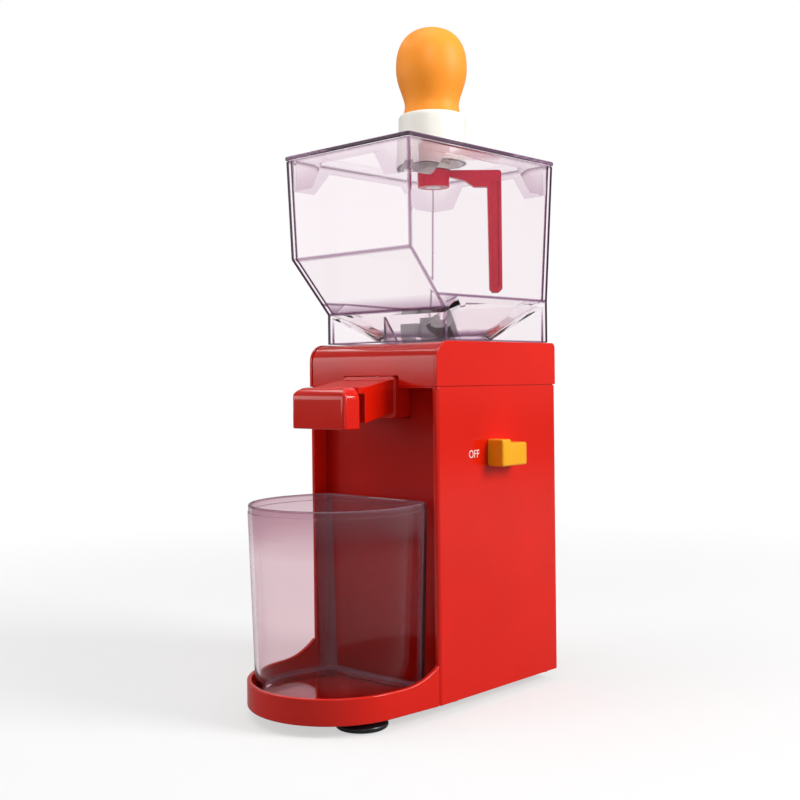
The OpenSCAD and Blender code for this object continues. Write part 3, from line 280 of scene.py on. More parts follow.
class Nodes:
    """A short way to write a material's or the world's node tree."""

    def __init__(self, owner: Material | bpy.types.World) -> None:
        """Empties the owner's node tree and adds its output.

        Args:
            owner: The material or the world that the nodes belong to.
        """
        owner.use_nodes = True
        self.owner, self.tree = owner, owner.node_tree
        self.tree.nodes.clear()
        kind = "World" if isinstance(owner, bpy.types.World) else "Material"
        self.out = self.tree.nodes.new("ShaderNodeOutput" + kind)

    def add(self, kind: str, **sockets: object) -> Node:
        """Adds a node.

        Args:
            kind: The node's type without its ShaderNode prefix.
            **sockets: Values or other nodes' sockets, named as the inputs with _ for a space.

        Returns:
            The new node.
        """
        made = self.tree.nodes.new("ShaderNode" + kind)
        for name, value in sockets.items():
            self.set(made, name.replace("_", " "), value)
        return made

    def set(self, node: Node, name: str | int, value: object) -> None:
        """Sets an input of a node.

        Args:
            node: The node.
            name: The input's name or index.
            value: Its value, or a socket to link to it.
        """
        if isinstance(value, Socket):
            self.tree.links.new(value, node.inputs[name])
        else:
            node.inputs[name].default_value = value

    def maths(self, operation: str, first: object, second: object) -> Socket:
        """Joins two values by an operation.

        Args:
            operation: The Math node's operation.
            first: A value or a socket.
            second: A value or a socket.

        Returns:
            The result's socket.
        """
        made = self.add("Math")
        made.operation = operation
        self.set(made, 0, first)
        self.set(made, 1, second)
        return made.outputs[0]

    def remap(self, value: Socket, source: Pair, target: Pair = (0, 1), smooth: bool = False) -> Socket:
        """Maps a value from one range onto another, and holds it inside that.

        Args:
            value: The value's socket.
            source: The range that it comes from.
            target: The range that it goes to.
            smooth: Whether it goes there in an S instead of a straight line.

        Returns:
            The mapped value's socket.
        """
        made = self.add("MapRange", Value=value, From_Min=source[0], From_Max=source[1],
                        To_Min=target[0], To_Max=target[1])
        if smooth:
            made.interpolation_type = "SMOOTHSTEP"
        return made.outputs["Result"]

    def place(self, scale: Triple = (1, 1, 1)) -> Socket:
        """Returns Object coordinates in metres, stretched by scale."""
        source = self.add("TexCoord")
        return self.add("Mapping", Vector=source.outputs["Object"], Scale=scale).outputs["Vector"]

    def noise(self, where: Socket, scale: float, detail: float = 3.0, rough: float = 0.55) -> Socket:
        """Returns a noise's factor, at scale cells a metre."""
        made = self.add("TexNoise", Vector=where, Scale=scale, Detail=detail, Roughness=rough)
        return made.outputs["Fac"]

    def spread(self, factor: Socket, low: float, high: float) -> Socket:
        """Maps a factor's middle half onto the range from low to high."""
        return self.remap(factor, (0.25, 0.75), (low, high))

    def blend(self, factor: Socket | float, first: object, second: object, mode: str = "MIX") -> Socket:
        """Mixes two colours.

        Args:
            factor: Share of the second colour.
            first: The colour below.
            second: The colour on top.
            mode: The way that they mix.

        Returns:
            The mixed colour's socket.
        """
        made = self.tree.nodes.new("ShaderNodeMix")
        made.data_type, made.blend_type = "RGBA", mode
        for index, value in ((0, factor), (6, first), (7, second)):
            self.set(made, index, value)
        return made.outputs[2]

    def clouded(self, factor: Socket, colour: Triple, dark: float, light: float) -> Socket:
        """Returns a colour that drifts between two gains of itself."""
        return self.blend(self.spread(factor, 0.0, 1.0), rgba(colour, dark), rgba(colour, light))

    def bump(self, height: Socket, strength: float, distance: float) -> Socket:
        """Returns the normal of a bumpy surface; distance is in metres."""
        return self.add("Bump", Height=height, Strength=strength, Distance=distance).outputs["Normal"]

    def mix(self, share: Socket, first: Node, second: Node) -> Node:
        """Mixes two shaders.

        Args:
            share: Share of the second shader.
            first: The shader below.
            second: The shader on top.

        Returns:
            The mixed shader's node.
        """
        made = self.add("MixShader", Fac=share)
        self.set(made, 1, first.outputs[0])
        self.set(made, 2, second.outputs[0])
        return made

    def finish(self, shader: Node) -> Material | bpy.types.World:
        """Joins the shader to the output and returns the tree's owner."""
        self.tree.links.new(shader.outputs[0], self.out.inputs["Surface"])
        return self.owner


@dataclass(frozen=True)
class GlossMoulding:
    """Glossy injection-moulded plastic: flow clouds, a faint orange peel and dust.

    The cells are the sizes of clouds, peel and dust, as noise cells a metre.
    """

    name: str
    colour: Triple
    roughness: float = 0.2
    gloss: float = 0.22
    cloud: float = 0.05
    peel: float = 0.015
    subsurface: float = 0.0
    cells: Triple = (22.0, 700.0, 2400.0)
    wear: float = 0.15
    specks: Pair = (0.72, 0.82)
    dust: float = 0.06

    def material(self) -> Material:
        """Builds the material from three noises, for clouds, peel and dust.

        Returns:
            The new material.
        """
        n = Nodes(bpy.data.materials.new(self.name))
        where = n.place()
        clouds = n.noise(where, self.cells[0], 2.0)
        fine = n.noise(where, self.cells[1], 2.0)
        specks = n.noise(where, self.cells[2], 1.0)
        colour = n.clouded(clouds, self.colour, 1 - self.cloud, 1 + self.cloud)
        colour = n.blend(n.remap(specks, self.specks, (0.0, self.dust)), colour, rgba((0.75, 0.7, 0.68)))
        rough = n.spread(clouds, self.roughness * (1 - self.wear), self.roughness * (1 + self.wear))
        shader = n.add("BsdfPrincipled", Base_Color=colour, Roughness=rough, IOR=1.5,
                       Specular_IOR_Level=self.gloss, Subsurface_Weight=self.subsurface,
                       Subsurface_Radius=(0.004, 0.002, 0.001), Subsurface_Scale=1.0,
                       Normal=n.bump(fine, self.peel, 0.0004))
        return n.finish(shader)


@dataclass(frozen=True)
class ClearMoulding:
    """Clear tinted plastic: pale where it is looked through squarely, deep mauve at its edges.

    The tint is deep to the power of the depth, which is the mesh's own edge weight times a factor
    that rises from squarely to 1 as the surface turns away. Past the dim range's start a deeper
    tint also lets less light through, down to least. Faint streaks of haze run upwards.
    """

    name: str
    clear: Triple = (0.97, 0.935, 0.95)
    edge: Triple = (0.94, 0.89, 0.92)
    deep: Triple = (0.035, 0.008, 0.028)
    roughness: float = 0.0
    bend: float = 1.2
    ramp: Pair = (0.40, 0.95)
    turn: Pair = (0.1, 0.6)
    squarely: float = 0.75
    dim: Pair = (0.07, 0.6)
    least: float = 0.3
    haze: Triple = (0.90, 0.84, 0.88)
    hazy: Pair = (0.04, 0.008)

    def material(self) -> Material:
        """Builds the material, a refracting body whose colour is the haze times the tint.

        Returns:
            The new material.
        """
        n = Nodes(bpy.data.materials.new(self.name))
        streaks = n.noise(n.place((1.0, 1.0, 0.3)), 90.0, 2.0)
        ripple = n.noise(n.place(), 30.0, 0.0)
        facing = n.add("LayerWeight", Blend=0.32).outputs["Facing"]
        ramp = n.add("ValToRGB", Fac=facing)
        for stop, position, colour in zip(ramp.color_ramp.elements, self.ramp, (self.clear, self.edge)):
            stop.position, stop.color = position, rgba(colour)
        haze = n.blend(n.spread(streaks, 0.0, self.hazy[0]), ramp.outputs["Color"], rgba(self.haze))
        weight = n.add("Attribute")
        weight.attribute_name = "edge"
        depth = n.maths("MULTIPLY", weight.outputs["Fac"], n.remap(facing, self.turn, (self.squarely, 1.0)))
        tint = n.add("Gamma", Color=rgba(self.deep), Gamma=depth)
        shader = n.add("BsdfPrincipled", Base_Color=n.blend(1.0, haze, tint.outputs[0], "MULTIPLY"),
                       Roughness=n.spread(streaks, self.roughness, self.roughness + self.hazy[1]),
                       IOR=self.bend,
                       Transmission_Weight=n.remap(depth, self.dim, (1.0, self.least)),
                       Normal=n.bump(ripple, 0.02, 0.0006))
        return n.finish(shader)


@dataclass(frozen=True)
class MattMoulding:
    """Satin or matt plastic with a spark-eroded grain."""

    name: str
    colour: Triple
    roughness: float = 0.5
    grain: float = 1400.0
    depth: float = 0.12
    cloud: float = 0.05

    def material(self) -> Material:
        """Builds the material from a fine noise for the grain and a broad one for the colour.

        Returns:
            The new material.
        """
        n = Nodes(bpy.data.materials.new(self.name))
        where = n.place()
        grain = n.noise(where, self.grain, 3.0)
        colour = n.clouded(n.noise(where, 40.0, 2.0), self.colour, 1 - self.cloud, 1 + self.cloud)
        shader = n.add("BsdfPrincipled", Base_Color=colour,
                       Roughness=n.spread(grain, self.roughness * 0.9, self.roughness * 1.12),
                       Normal=n.bump(grain, self.depth, 0.0003))
        return n.finish(shader)


@dataclass(frozen=True)
class TurnedMetal:
    """Bare metal with the fine lines of its turning or rolling, and slight stains."""

    name: str
    colour: Triple
    roughness: float = 0.3
    lines: Triple = (1.0, 1.0, 14.0)
    depth: float = 0.1

    def material(self) -> Material:
        """Builds the material from a drawn-out noise for the lines and a broad one for the stains.

        Returns:
            The new material.
        """
        n = Nodes(bpy.data.materials.new(self.name))
        lines = n.noise(n.place(self.lines), 420.0, 4.0, 0.7)
        colour = n.clouded(n.noise(n.place(), 70.0, 3.0), self.colour, 0.82, 1.06)
        shader = n.add("BsdfPrincipled", Base_Color=colour, Metallic=1.0,
                       Roughness=n.spread(lines, self.roughness * 0.8, self.roughness * 1.25),
                       Normal=n.bump(lines, self.depth, 0.0002))
        return n.finish(shader)


@dataclass(frozen=True)
class PlainSurface:
    """A pale floor that fades into the white background but keeps the object's shadow."""

    name: str
    near: float = 0.2
    far: float = 0.75
    own_light: float = 0.55
    in_gloss: float = 0.2

    def material(self) -> Material:
        """Builds the material: paper that glows white further out, where it is seen directly.

        Returns:
            The new material.
        """
        n = Nodes(bpy.data.materials.new(self.name))
        path = n.add("LightPath").outputs
        straight = n.maths("MAXIMUM", path["Is Camera Ray"], path["Is Transmission Ray"])
        seen = n.maths("MAXIMUM", straight, n.maths("MULTIPLY", path["Is Glossy Ray"], self.in_gloss))
        away = n.add("VectorMath")
        away.operation = "LENGTH"
        n.set(away, 0, n.add("TexCoord").outputs["Object"])
        fade = n.remap(away.outputs["Value"], (self.near, self.far), (self.own_light, 1.0), True)
        paper = n.spread(n.noise(n.place(), 60.0, 2.0), 0.0, 1.0)
        bright = n.blend(paper, rgba((0.90, 0.90, 0.90)), rgba((0.92, 0.92, 0.92)))
        lit = n.add("BsdfDiffuse", Color=n.blend(straight, rgba((0.3, 0.3, 0.3)), bright))
        glow = n.add("Emission", Color=rgba((1.0, 1.0, 1.0)), Strength=1.0)
        return n.finish(n.mix(n.maths("MULTIPLY", fade, seen), lit, glow))


class Finishes:
    """All the finishes of the object, keyed by the record's material slot."""

    def __init__(self) -> None:
        """Builds each material once."""
        flat = (1.0, 1.0, 1.0)
        made = {
            "red_shell": GlossMoulding("red_gloss_moulding", (0.74, 0.010, 0.002), 0.12, 0.4, peel=0.004),
            # the recess panel is the shell's red darkened, as painted shade for the shade that falls in the
            # recess
            "red_trim": GlossMoulding("red_recess_painted_shade", (0.46, 0.007, 0.003), 0.22, 0.16),
            "clear_bin": ClearMoulding("clear_hopper_moulding"),
            "clear_cup": ClearMoulding("clear_cup_moulding", (0.89, 0.77, 0.80), (0.66, 0.46, 0.55),
                                       (0.10, 0.025, 0.045)),
            "orange_knob": GlossMoulding("orange_satin_moulding", (1.0, 0.32, 0.03), 0.45, 0.2, 0.02,
                                         subsurface=0.1),
            "cream_collar": MattMoulding("cream_satin_moulding", (0.86, 0.84, 0.77), 0.42),
            "crimson_stirrer": GlossMoulding("crimson_gloss_moulding", (0.62, 0.018, 0.05), 0.2),
            "amber_switch": GlossMoulding("amber_satin_moulding", (0.97, 0.42, 0.008), 0.3, 0.35, 0.03,
                                          subsurface=0.08),
            "black_rubber": MattMoulding("black_rubber", (0.010, 0.010, 0.012), 0.3, 700.0, 0.08),
            "steel": TurnedMetal("bright_steel", (0.62, 0.63, 0.65)),
            "burr_iron": TurnedMetal("ground_iron", (0.40, 0.40, 0.42), 0.42, (1.0, 1.0, 3.0), 0.2),
            "alloy": TurnedMetal("cast_alloy", (0.52, 0.52, 0.54), 0.5, flat, 0.25),
            "dark_plastic": MattMoulding("dark_filled_plastic", (0.03, 0.03, 0.035), 0.5),
            "pale_plastic": MattMoulding("pale_acetal", (0.74, 0.71, 0.62), 0.36),
            "bronze": TurnedMetal("sintered_bronze", (0.55, 0.38, 0.18), 0.45, flat, 0.3),
            "board": MattMoulding("circuit_board", (0.02, 0.12, 0.05), 0.35, 300.0),
        }
        self.by_slot = {slot: finish.material() for slot, finish in made.items()}
        self.ink = MattMoulding("white_print", (0.85, 0.80, 0.76), 0.45, 2000.0, 0.05).material()

    def dress(self, piece: Piece, slot: str, body: str) -> None:
        """Gives a new piece its finish, its slot and the body that it rides on.

        Args:
            piece: The new piece.
            slot: The record's material slot, which says its finish.
            body: The record's body.
        """
        piece.data.materials.clear()
        piece.data.materials.append(self.by_slot[slot])
        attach(piece, body)
        log.info("%s: %s on %s, %d points", piece.name, slot, body, len(piece.data.vertices))

    def dress_cad(self) -> None:
        """Gives each CAD node the finish of its own slot."""
        for part in frame["record"]["subparts"]:
            node = frame["nodes"][part["node"]]
            node.data.materials.clear()
            node.data.materials.append(self.by_slot[part["material_slot"]])


# ---- sub-assemblies


@dataclass
class Moulding:
    """A CAD solid that shows as a moulding with rounded edges."""

    node: str
    slot: str
    body: str = "housing"
    radius: float = 0.5
    flatten: bool = True

    def build(self, finishes: Finishes) -> None:
        """Builds and dresses the moulding."""
        finishes.dress(softened(self.node, self.radius, self.flatten), self.slot, self.body)


@dataclass
class SeamLip:
    """The lower housing's lip, which stands behind the seam below the head."""

    half: float = 44.2
    front: float = 0.8
    back: float = 94.7
    low: float = 151.2
    high: float = 152.3
    thick: float = 0.9

    def build(self, finishes: Finishes) -> None:
        """Builds the lip as a closed loop of four rounded rings.

        Args:
            finishes: The object's finishes.
        """
        rings = []
        for inset, z in ((0.0, self.low), (0.0, self.high), (self.thick, self.high), (self.thick, self.low)):
            x, y0, y1 = self.half - inset, self.front + inset, self.back - inset
            flat = rounded(np.array([[x, y0], [x, y1], [-x, y1], [-x, y0]]), 1.0, 4, True)
            rings.append(np.column_stack([flat, np.full(len(flat), z)]))
        made = grid_piece("seam_lip", np.stack(rings), True)
        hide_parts("lower_housing")
        finishes.dress(made, "red_shell", "housing")


@dataclass
class Housing:
    """The housing, its head, tray and spout."""

    mouldings: list[Moulding] = field(default_factory=lambda: [
        Moulding("lower_housing", "red_shell", radius=0.3, flatten=False),
        Moulding("recess_panel", "red_trim", radius=0.3),
        Moulding("rear_cover", "red_shell", radius=0.15, flatten=False),
        Moulding("base_tray", "red_shell", radius=0.6),
        Moulding("head_cover", "red_shell", radius=0.35),
        Moulding("head_side_left", "red_shell", radius=0.3),
        Moulding("head_side_right", "red_shell", radius=0.3),
        Moulding("spout", "red_shell", radius=0.5, flatten=False),
        Moulding("spout_cap", "red_shell", radius=0.7),
    ])

    def build(self, finishes: Finishes) -> None:
        """Builds each moulding, and the lip in the seam.

        Args:
            finishes: The object's finishes.
        """
        for moulding in self.mouldings:
            moulding.build(finishes)
        SeamLip().build(finishes)


@dataclass
class SuctionFeet:
    """Rubber feet: a flared disc with a rolled rim under a short neck."""

    height: float = 5.0
    stem: float = 3.0
    front: Triple = (12.4, 27.0, -34.6)
    rear: Triple = (10.0, 24.0, 80.0)
    turns: int = 72

    def profile(self, radius: float) -> np.ndarray:
        """Works out a foot's outline, hollow below as a suction foot is.

        Args:
            radius: Radius of the foot's rim.

        Returns:
            Array (points, 2) of radius and height.
        """
        h = self.height
        outline = np.array([
            [0, -h + 1.4], [0.55 * radius, -h + 1.1], [0.82 * radius, -h], [0.95 * radius, -h],
            [radius, -h + 0.9], [radius, -0.56 * h], [0.86 * radius, -0.36 * h], [0.56 * radius, -0.05],
            [self.stem, -0.05], [self.stem, 1.5], [0, 1.5],
        ])
        return rounded(outline, 0.7, 4)

    def build(self, finishes: Finishes) -> None:
        """Builds both pairs.

        Args:
            finishes: The object's finishes.
        """
        for node, (radius, x, y) in (("front_feet", self.front), ("rear_feet", self.rear)):
            for side, tag in ((-1, "left"), (1, "right")):
                foot = lathe(f"{node}_{tag}", self.profile(radius), (side * x, y), self.turns)
                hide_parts(node)
                finishes.dress(foot, "black_rubber", "housing")


@dataclass
class SwitchKnob:
    """The amber switch knob: a stepped block with soft edges, and its stem.

    The lines are the places of more rings about the step, and the stem overlaps the grip a little.
    """

    face: float = 45.2
    outer: float = 54.8
    front: float = 37.5
    length: float = 20.5
    grip: float = 6.7
    middle: float = 118.5
    height: float = 13.5
    step: float = 2.0
    slope: Pair = (-0.6, 2.0)
    inward: float = 0.5
    lines: Triple = (-0.4, 0.5, 1.6)
    edge: float = 1.3
    ring: int = 9
    stem_end: float = 37.0
    stem_half: float = 3.0
    stem_back: float = 9.0
    stem_edge: float = 0.3
    overlap: float = 0.6

    def rows(self) -> np.ndarray:
        """Works out the grip's rings along y, with a pole at both ends.

        Each ring is a rounded rectangle in x and z. Its size shrinks at both ends by
        e - sqrt(e^2 - (e - s)^2), where s is the distance from the end, which rounds the ends.
        Behind the grip the top falls by the step, in an S over the slope's start and length.

        Returns:
            Array (rings, points, 3).
        """
        e, back = self.edge, self.front + self.length
        s = e * (1 - np.cos(np.linspace(0, math.pi / 2, 6)))
        step_y = self.front + self.grip
        y = np.concatenate([self.front + s, step_y + np.array(self.lines), back - s[::-1]])
        near = np.minimum(np.minimum(y - self.front, back - y), e)
        shrink = e - np.sqrt(np.maximum(e**2 - (e - near) ** 2, 0))
        low = self.middle - self.height / 2 + 0 * y
        fall = np.clip((y - step_y - self.slope[0]) / self.slope[1], 0, 1)
        top = low + self.height - self.step * fall * fall * (3 - 2 * fall)
        outer = self.outer - self.inward * fall
        rings = [self.ring_at(o - k, lo + k, hi - k, k) for o, lo, hi, k in zip(outer, low, top, shrink)]
        flat = np.stack(rings)
        rows = np.concatenate([flat, y[:, None, None] + 0 * flat[..., :1]], -1)[..., [0, 2, 1]]
        poles = [rows[end].mean(0, keepdims=True) + 0 * rows[end] for end in (0, -1)]
        return np.concatenate([poles[0][None], rows, poles[1][None]])

    def ring_at(self, outer: float, low: float, high: float, shrink: float) -> np.ndarray:
        """Works out one rounded rectangle, whose inner side stays at the housing's face.

        Args:
            outer: Its outer side, in x.
            low: Height of its lower side.
            high: Height of its upper side.
            shrink: How far the end's round draws it in, which its corners lose too.

        Returns:
            Array (points, 2) of x and height.
        """
        corners = np.array([[self.face, low], [outer, low], [outer, high], [self.face, high]])
        radius = max(self.edge - shrink, 0.05)
        return rounded(corners, np.array([0.3, radius, radius, 0.3]), self.ring, True)

    def build(self, finishes: Finishes) -> None:
        """Builds the knob over the CAD node, whose stem goes on into the housing.

        Args:
            finishes: The object's finishes.
        """
        for made in (grid_piece("switch_knob_grip", self.rows()), self.stem()):
            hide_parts("switch_knob")
            finishes.dress(made, "amber_switch", "switch")

    def stem(self) -> Piece:
        """Builds the stem behind the knob, a square bar along x with a pole at both ends.

        Returns:
            The new object.
        """
        inner, outer, wide = self.stem_end, self.face + self.overlap, self.stem_half
        ends = ((inner, 0.0), (inner, wide - self.stem_edge), (inner + self.stem_edge, wide),
                (outer, wide), (outer, 0.0))
        corners = np.array([[0, -1, -1], [0, 1, -1], [0, 1, 1], [0, -1, 1]])
        rows = [corners * half + [x, self.front + self.stem_back, self.middle] for x, half in ends]
        return grid_piece("switch_knob_stem", np.stack(rows))


@dataclass
class SwitchMark:
    """The word printed beside the switch."""

    word: str = "OFF"
    side: float = 45.0
    start: float = 23.2
    foot: float = 116.5
    size: float = 5.5
    width: float = 7.7
    proud: float = 0.05
    thick: float = 0.03

    def build(self, finishes: Finishes) -> None:
        """Builds the word as a thin mesh that lies on the housing's side.

        Args:
            finishes: The object's finishes.
        """
        words = bpy.data.curves.new("switch_word", "FONT")
        words.body, words.size, words.extrude = self.word, self.size * MM, self.thick * MM
        words.resolution_u = 6
        holder = new_object("switch_word_curve", words)
        bpy.context.view_layer.update()
        mesh = bpy.data.meshes.new_from_object(holder.evaluated_get(bpy.context.evaluated_depsgraph_get()))
        bpy.data.objects.remove(holder)
        points = np.zeros(len(mesh.vertices) * 3)
        mesh.vertices.foreach_get("co", points)
        flat = points.reshape(-1, 3) / MM
        along = flat[:, 0] - flat[:, 0].min()
        along *= self.width / along.max()
        placed = np.stack([self.side + self.proud + flat[:, 2], self.start + along,
                           self.foot + flat[:, 1] - flat[:, 1].min()], -1)
        mesh.vertices.foreach_set("co", HOME.place(placed).ravel())
        mesh.update()
        made = new_object("switch_word", mesh)
        made.data.materials.clear()
        made.data.materials.append(finishes.ink)
        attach(made, "housing")
        log.info("switch_word: %s", self.word)


@dataclass
class RingWall:
    """Rings with one count of points, for walls that are square in one place and round in another."""

    axis_y: float = 49.0
    corner_steps: int = 7
    near: tuple[float, ...] = (0.8, 1.3, 14.15, 14.25)
    corner_tint: tuple[float, float, float, float] = (0.35, 1.0, 0.35, 1.0)
    middle_points: int = 6

    def ring(self, half: float, front: float, back: float, z: np.ndarray | float,
             corner: float) -> np.ndarray:
        """Works out a rounded rectangle.

        Each side carries points at the near distances from both its ends, and evenly spaced ones
        between them.

        Args:
            half: Half its width.
            front: Its front edge.
            back: Its back edge.
            z: Its height, or the height of each point.
            corner: Radius of its corners.

        Returns:
            Array (points, 3).
        """
        corners = np.array([[half, front], [half, back], [-half, back], [-half, front]])
        arcs = rounded(corners, corner, self.corner_steps, True).reshape(4, -1, 2)
        start, end = arcs[:, -1], np.roll(arcs, -1, 0)[:, 0]
        length = np.linalg.norm(end - start, axis=1)[:, None]
        near = np.array(self.near) / length
        share = np.linspace(0, 1, self.middle_points + 2)[1:-1]
        middle = near[:, -1:] + (1 - 2 * near[:, -1:]) * share
        t = np.concatenate([near, middle, 1 - near[:, ::-1]], 1)[..., None]
        sides = start[:, None] * (1 - t) + end[:, None] * t
        flat = np.concatenate([arcs, sides], 1).reshape(-1, 2)
        return np.column_stack([flat, np.broadcast_to(z, len(flat))])

    def points(self) -> int:
        """Returns the count of points in a ring."""
        return 4 * (self.corner_steps + 1 + 2 * len(self.near) + self.middle_points)

    def circle(self, radius: float, z: float) -> np.ndarray:
        """Works out a circle about the axis that matches a ring point by point.

        Of n points, point i lies at -45 + 360 (i - c / 2) / n degrees, where c is a corner's steps.

        Args:
            radius: Its radius.
            z: Its height.

        Returns:
            Array (points, 3).
        """
        count = self.points()
        a = math.radians(-45) + 2 * math.pi * (np.arange(count) - self.corner_steps / 2) / count
        return np.column_stack([radius * np.cos(a), self.axis_y + radius * np.sin(a), np.full(count, z)])

    def corners(self) -> np.ndarray:
        """Weighs each ring point by its corner: the whole arc, and the points next to it.

        A corner of low weight is narrower: it swells to its weight in the arc's middle.

        Returns:
            Array of a weight from 0 to 1 for each point.
        """
        per, steps = self.points() // 4, self.corner_steps
        block = np.zeros((4, per))
        for index, weight in enumerate(self.corner_tint):
            swell = np.sin(math.pi * np.linspace(0, 1, steps + 1)) if weight < 1 else 1.0
            block[index, : steps + 1] = weight * swell
            if weight == 1:
                block[index, steps + 1] = weight
                block[index - 1, -1] = weight
        return block.ravel()


@dataclass
class Hopper(RingWall):
    """The clear hopper: one closed wall from its skirt over its mouth to its throat, and a rib.

    The rib sinks into the skirt's wall by the first of rib_ends, and stops short of the throat's
    bore, inside its wall, by the second.
    """

    mouth: tuple[float, float, float, float] = (43.9, -16.5, 97.5, 269.0)
    bend: Pair = (-14.7, 218.0)
    foot: Pair = (10.0, 190.0)
    floor: float = 196.5
    skirt: Triple = (42.0, 10.0, 94.0)
    seat: float = 174.3
    wall: float = 2.2
    throat: Triple = (27.0, 178.0, 166.3)
    corner: float = 1.8
    rib: float = 2.2
    floor_thick: float = 3.2
    dip: Pair = (5.6, 5.4)
    dip_run: float = 8.0
    rib_ends: Pair = (0.4, 1.6)
    rib_low: float = 0.4
    rib_drop: float = 9.0
    rib_tip: float = 1.2

    def extents(self, z: float) -> Triple:
        """Works out where the outer walls stand at a height.

        The sides and the back run straight from the floor's rim to the mouth and upright below
        it. The front runs straight from the mouth to the bend, slants to the foot and is upright
        below it.

        Args:
            z: The height.

        Returns:
            Half the width, the front and the back.
        """
        hx, front, back, top = self.mouth
        sx, sy0, sy1 = self.skirt
        half = np.interp(z, [self.floor, top], [sx, hx])
        rear = np.interp(z, [self.floor, top], [sy1, back])
        face = np.interp(z, [self.foot[1], self.bend[1], top], [sy0, self.bend[0], front])
        return float(half), float(face), float(rear)

    def outer(self, z: float, inset: float = 0.0) -> np.ndarray:
        """Works out a ring of the wall.

        On the slant the front's inset grows by the slant's length over its fall, which keeps the
        wall as thick there.

        Args:
            z: The ring's height.
            inset: Distance inwards from the outer side.

        Returns:
            Array (points, 3).
        """
        half, front, back = self.extents(z)
        run, fall = self.foot[0] - self.bend[0], self.bend[1] - self.foot[1]
        slanted = self.foot[1] < z < self.bend[1]
        face = front + (inset * math.hypot(run, fall) / fall if slanted else inset)
        return self.ring(half - inset, face, back - inset, z, max(self.corner - inset, 0.6))

    def lines(self) -> np.ndarray:
        """Lists the wall's rings from foot to mouth.

        Returns:
            Array (rings, 3) of height, tint in front and tint elsewhere.
        """
        foot, floor, bend, top = self.foot[1], self.floor, self.bend[1], self.mouth[3]
        return np.array([
            (self.seat + 0.3, 0.4, 0.4), (self.seat + 1.0, 0, 0),
            (foot - 1.0, 0, 0), (foot, 0.7, 0), (foot + 1.2, 0, 0),
            (floor - 1.0, 0, 0), (floor, 0, 0.6), (floor + 1.0, 0, 0),
            (bend - 1.0, 0, 0), (bend, 0.3, 0), (bend + 1.0, 0, 0),
            (top - 1.6, 0, 0), (top - 0.5, 0.1, 0.1),
        ])

    def tint(self, ring: np.ndarray, front: float, other: float, corner: float = 1.0) -> np.ndarray:
        """Returns the tint of a ring's points: deep at the corners, else the front's or the rest's."""
        at_front = ring[:, 1] < ring[:, 1].min() + 0.4
        return np.maximum(np.where(at_front, front, other), corner * self.corners())

    def lowered(self, ring: np.ndarray) -> np.ndarray:
        """Returns how far each point of the floor's rim dips, from 1 at the slanted front to 0."""
        return np.clip((self.skirt[1] + self.wall + self.dip_run - ring[:, 1]) / self.dip_run, 0, 1)

    def rows(self) -> tuple[np.ndarray, np.ndarray]:
        """Works out the rings of the whole wall, in one closed loop, and their tint.

        They run up the outside, over the rim, down the inside, across the floor, down and up the
        throat, back under the floor and down the skirt. With each ring goes its tint in front and
        elsewhere, and the weight of its corners.

        Returns:
            Array (rings, points, 3), and array (rings, points) of tints.
        """
        w, top, (r, throat_top, throat_low) = self.wall, self.mouth[3], self.throat
        sx, sy0, sy1 = self.skirt
        made = [(self.outer(z), f, o, 1.0) for z, f, o in self.lines()]
        half, front, back, _ = self.mouth
        made += [(self.ring(half - k, front + k, back - k, top, self.corner), 0.1, 0.1, 0.5)
                 for k in (0.5, w - 0.5)]
        made += [(self.outer(z, w), f, o, 0.6) for z, f, o in self.lines()[:6:-1]]
        rim = self.ring(sx - w, made[-1][0][:, 1].min(), sy1 - w, self.floor, 0.8)
        low = self.lowered(rim)
        rim[:, 2] -= self.dip[0] * low
        rim[:, 1] += (sy0 + w - rim[:, 1].min()) * low
        made.append((rim, 0.35, 0.35, 0.4))
        hole = self.circle(r, throat_top)
        made += [(rim * (1 - t) + hole * t, 0, 0, 0.12) for t in (0.02, 0.2, 0.4, 0.6, 0.8)]
        made += [(self.circle(k, z), f, f, 0) for k, z, f in (
            (r, throat_top, 0.5), (r, throat_top - 0.8, 0.2), (r, throat_low + 0.4, 0.3),
            (r + 0.4, throat_low, 0.6), (r + 1.6, throat_low, 0.6), (r + 2, throat_low + 0.4, 0.3))]
        neck = self.circle(r + 2, throat_top - 3)
        under = self.ring(sx - w, sy0 + w, sy1 - w, self.floor - self.floor_thick, 0.8)
        under[:, 2] -= self.dip[1] * self.lowered(under)
        made += [(neck * (1 - t) + under * t, 0, 0, 0) for t in (0, 0.2, 0.4, 0.6, 0.8, 1)]
        made += [(self.ring(sx - k, sy0 + k, sy1 - k, self.seat + z, corner), edge, edge, at_corner)
                 for k, z, corner, edge, at_corner in (
                     (w, 1.0, 0.8, 0, 0.5), (w, 0.3, 0.8, 0.4, 0.6), (w - 0.3, 0.0, 1.0, 0.7, 0.7),
                     (0.3, 0.0, self.corner, 0.7, 0.7))]
        return np.stack([m[0] for m in made]), np.stack([self.tint(*m) for m in made])

    def rib_plate(self) -> Piece:
        """Builds the rib between the skirt's front and the throat, a plate across the y-z plane.

        Its rings are one rounded outline, carried along x and drawn to a point at both faces.

        Returns:
            The new object.
        """
        front = self.skirt[1] + self.wall - self.rib_ends[0]
        back = self.axis_y - self.throat[0] - self.rib_ends[1]
        low, high, r = self.seat + self.rib_low, self.floor - self.rib_drop, self.rib / 2
        corners = np.array([[front, low], [back, low], [back, low + self.rib_tip], [front, high]])
        outline = rounded(corners, 0.3, 3, True)
        middle = outline.mean(0)
        steps = ((-r, 0.0), (-r, 0.9), (-r + 0.3, 1.0), (r - 0.3, 1.0), (r, 0.9), (r, 0.0))
        across = np.ones((len(outline), 1))
        rows = [np.hstack([x * across, middle + (outline - middle) * k]) for x, k in steps]
        tint = np.where(outline[:, 0] < front + 0.4, 0.2, 0.0)
        return grid_piece("hopper_rib", np.stack(rows), edge=np.tile(tint, (len(rows), 1)))

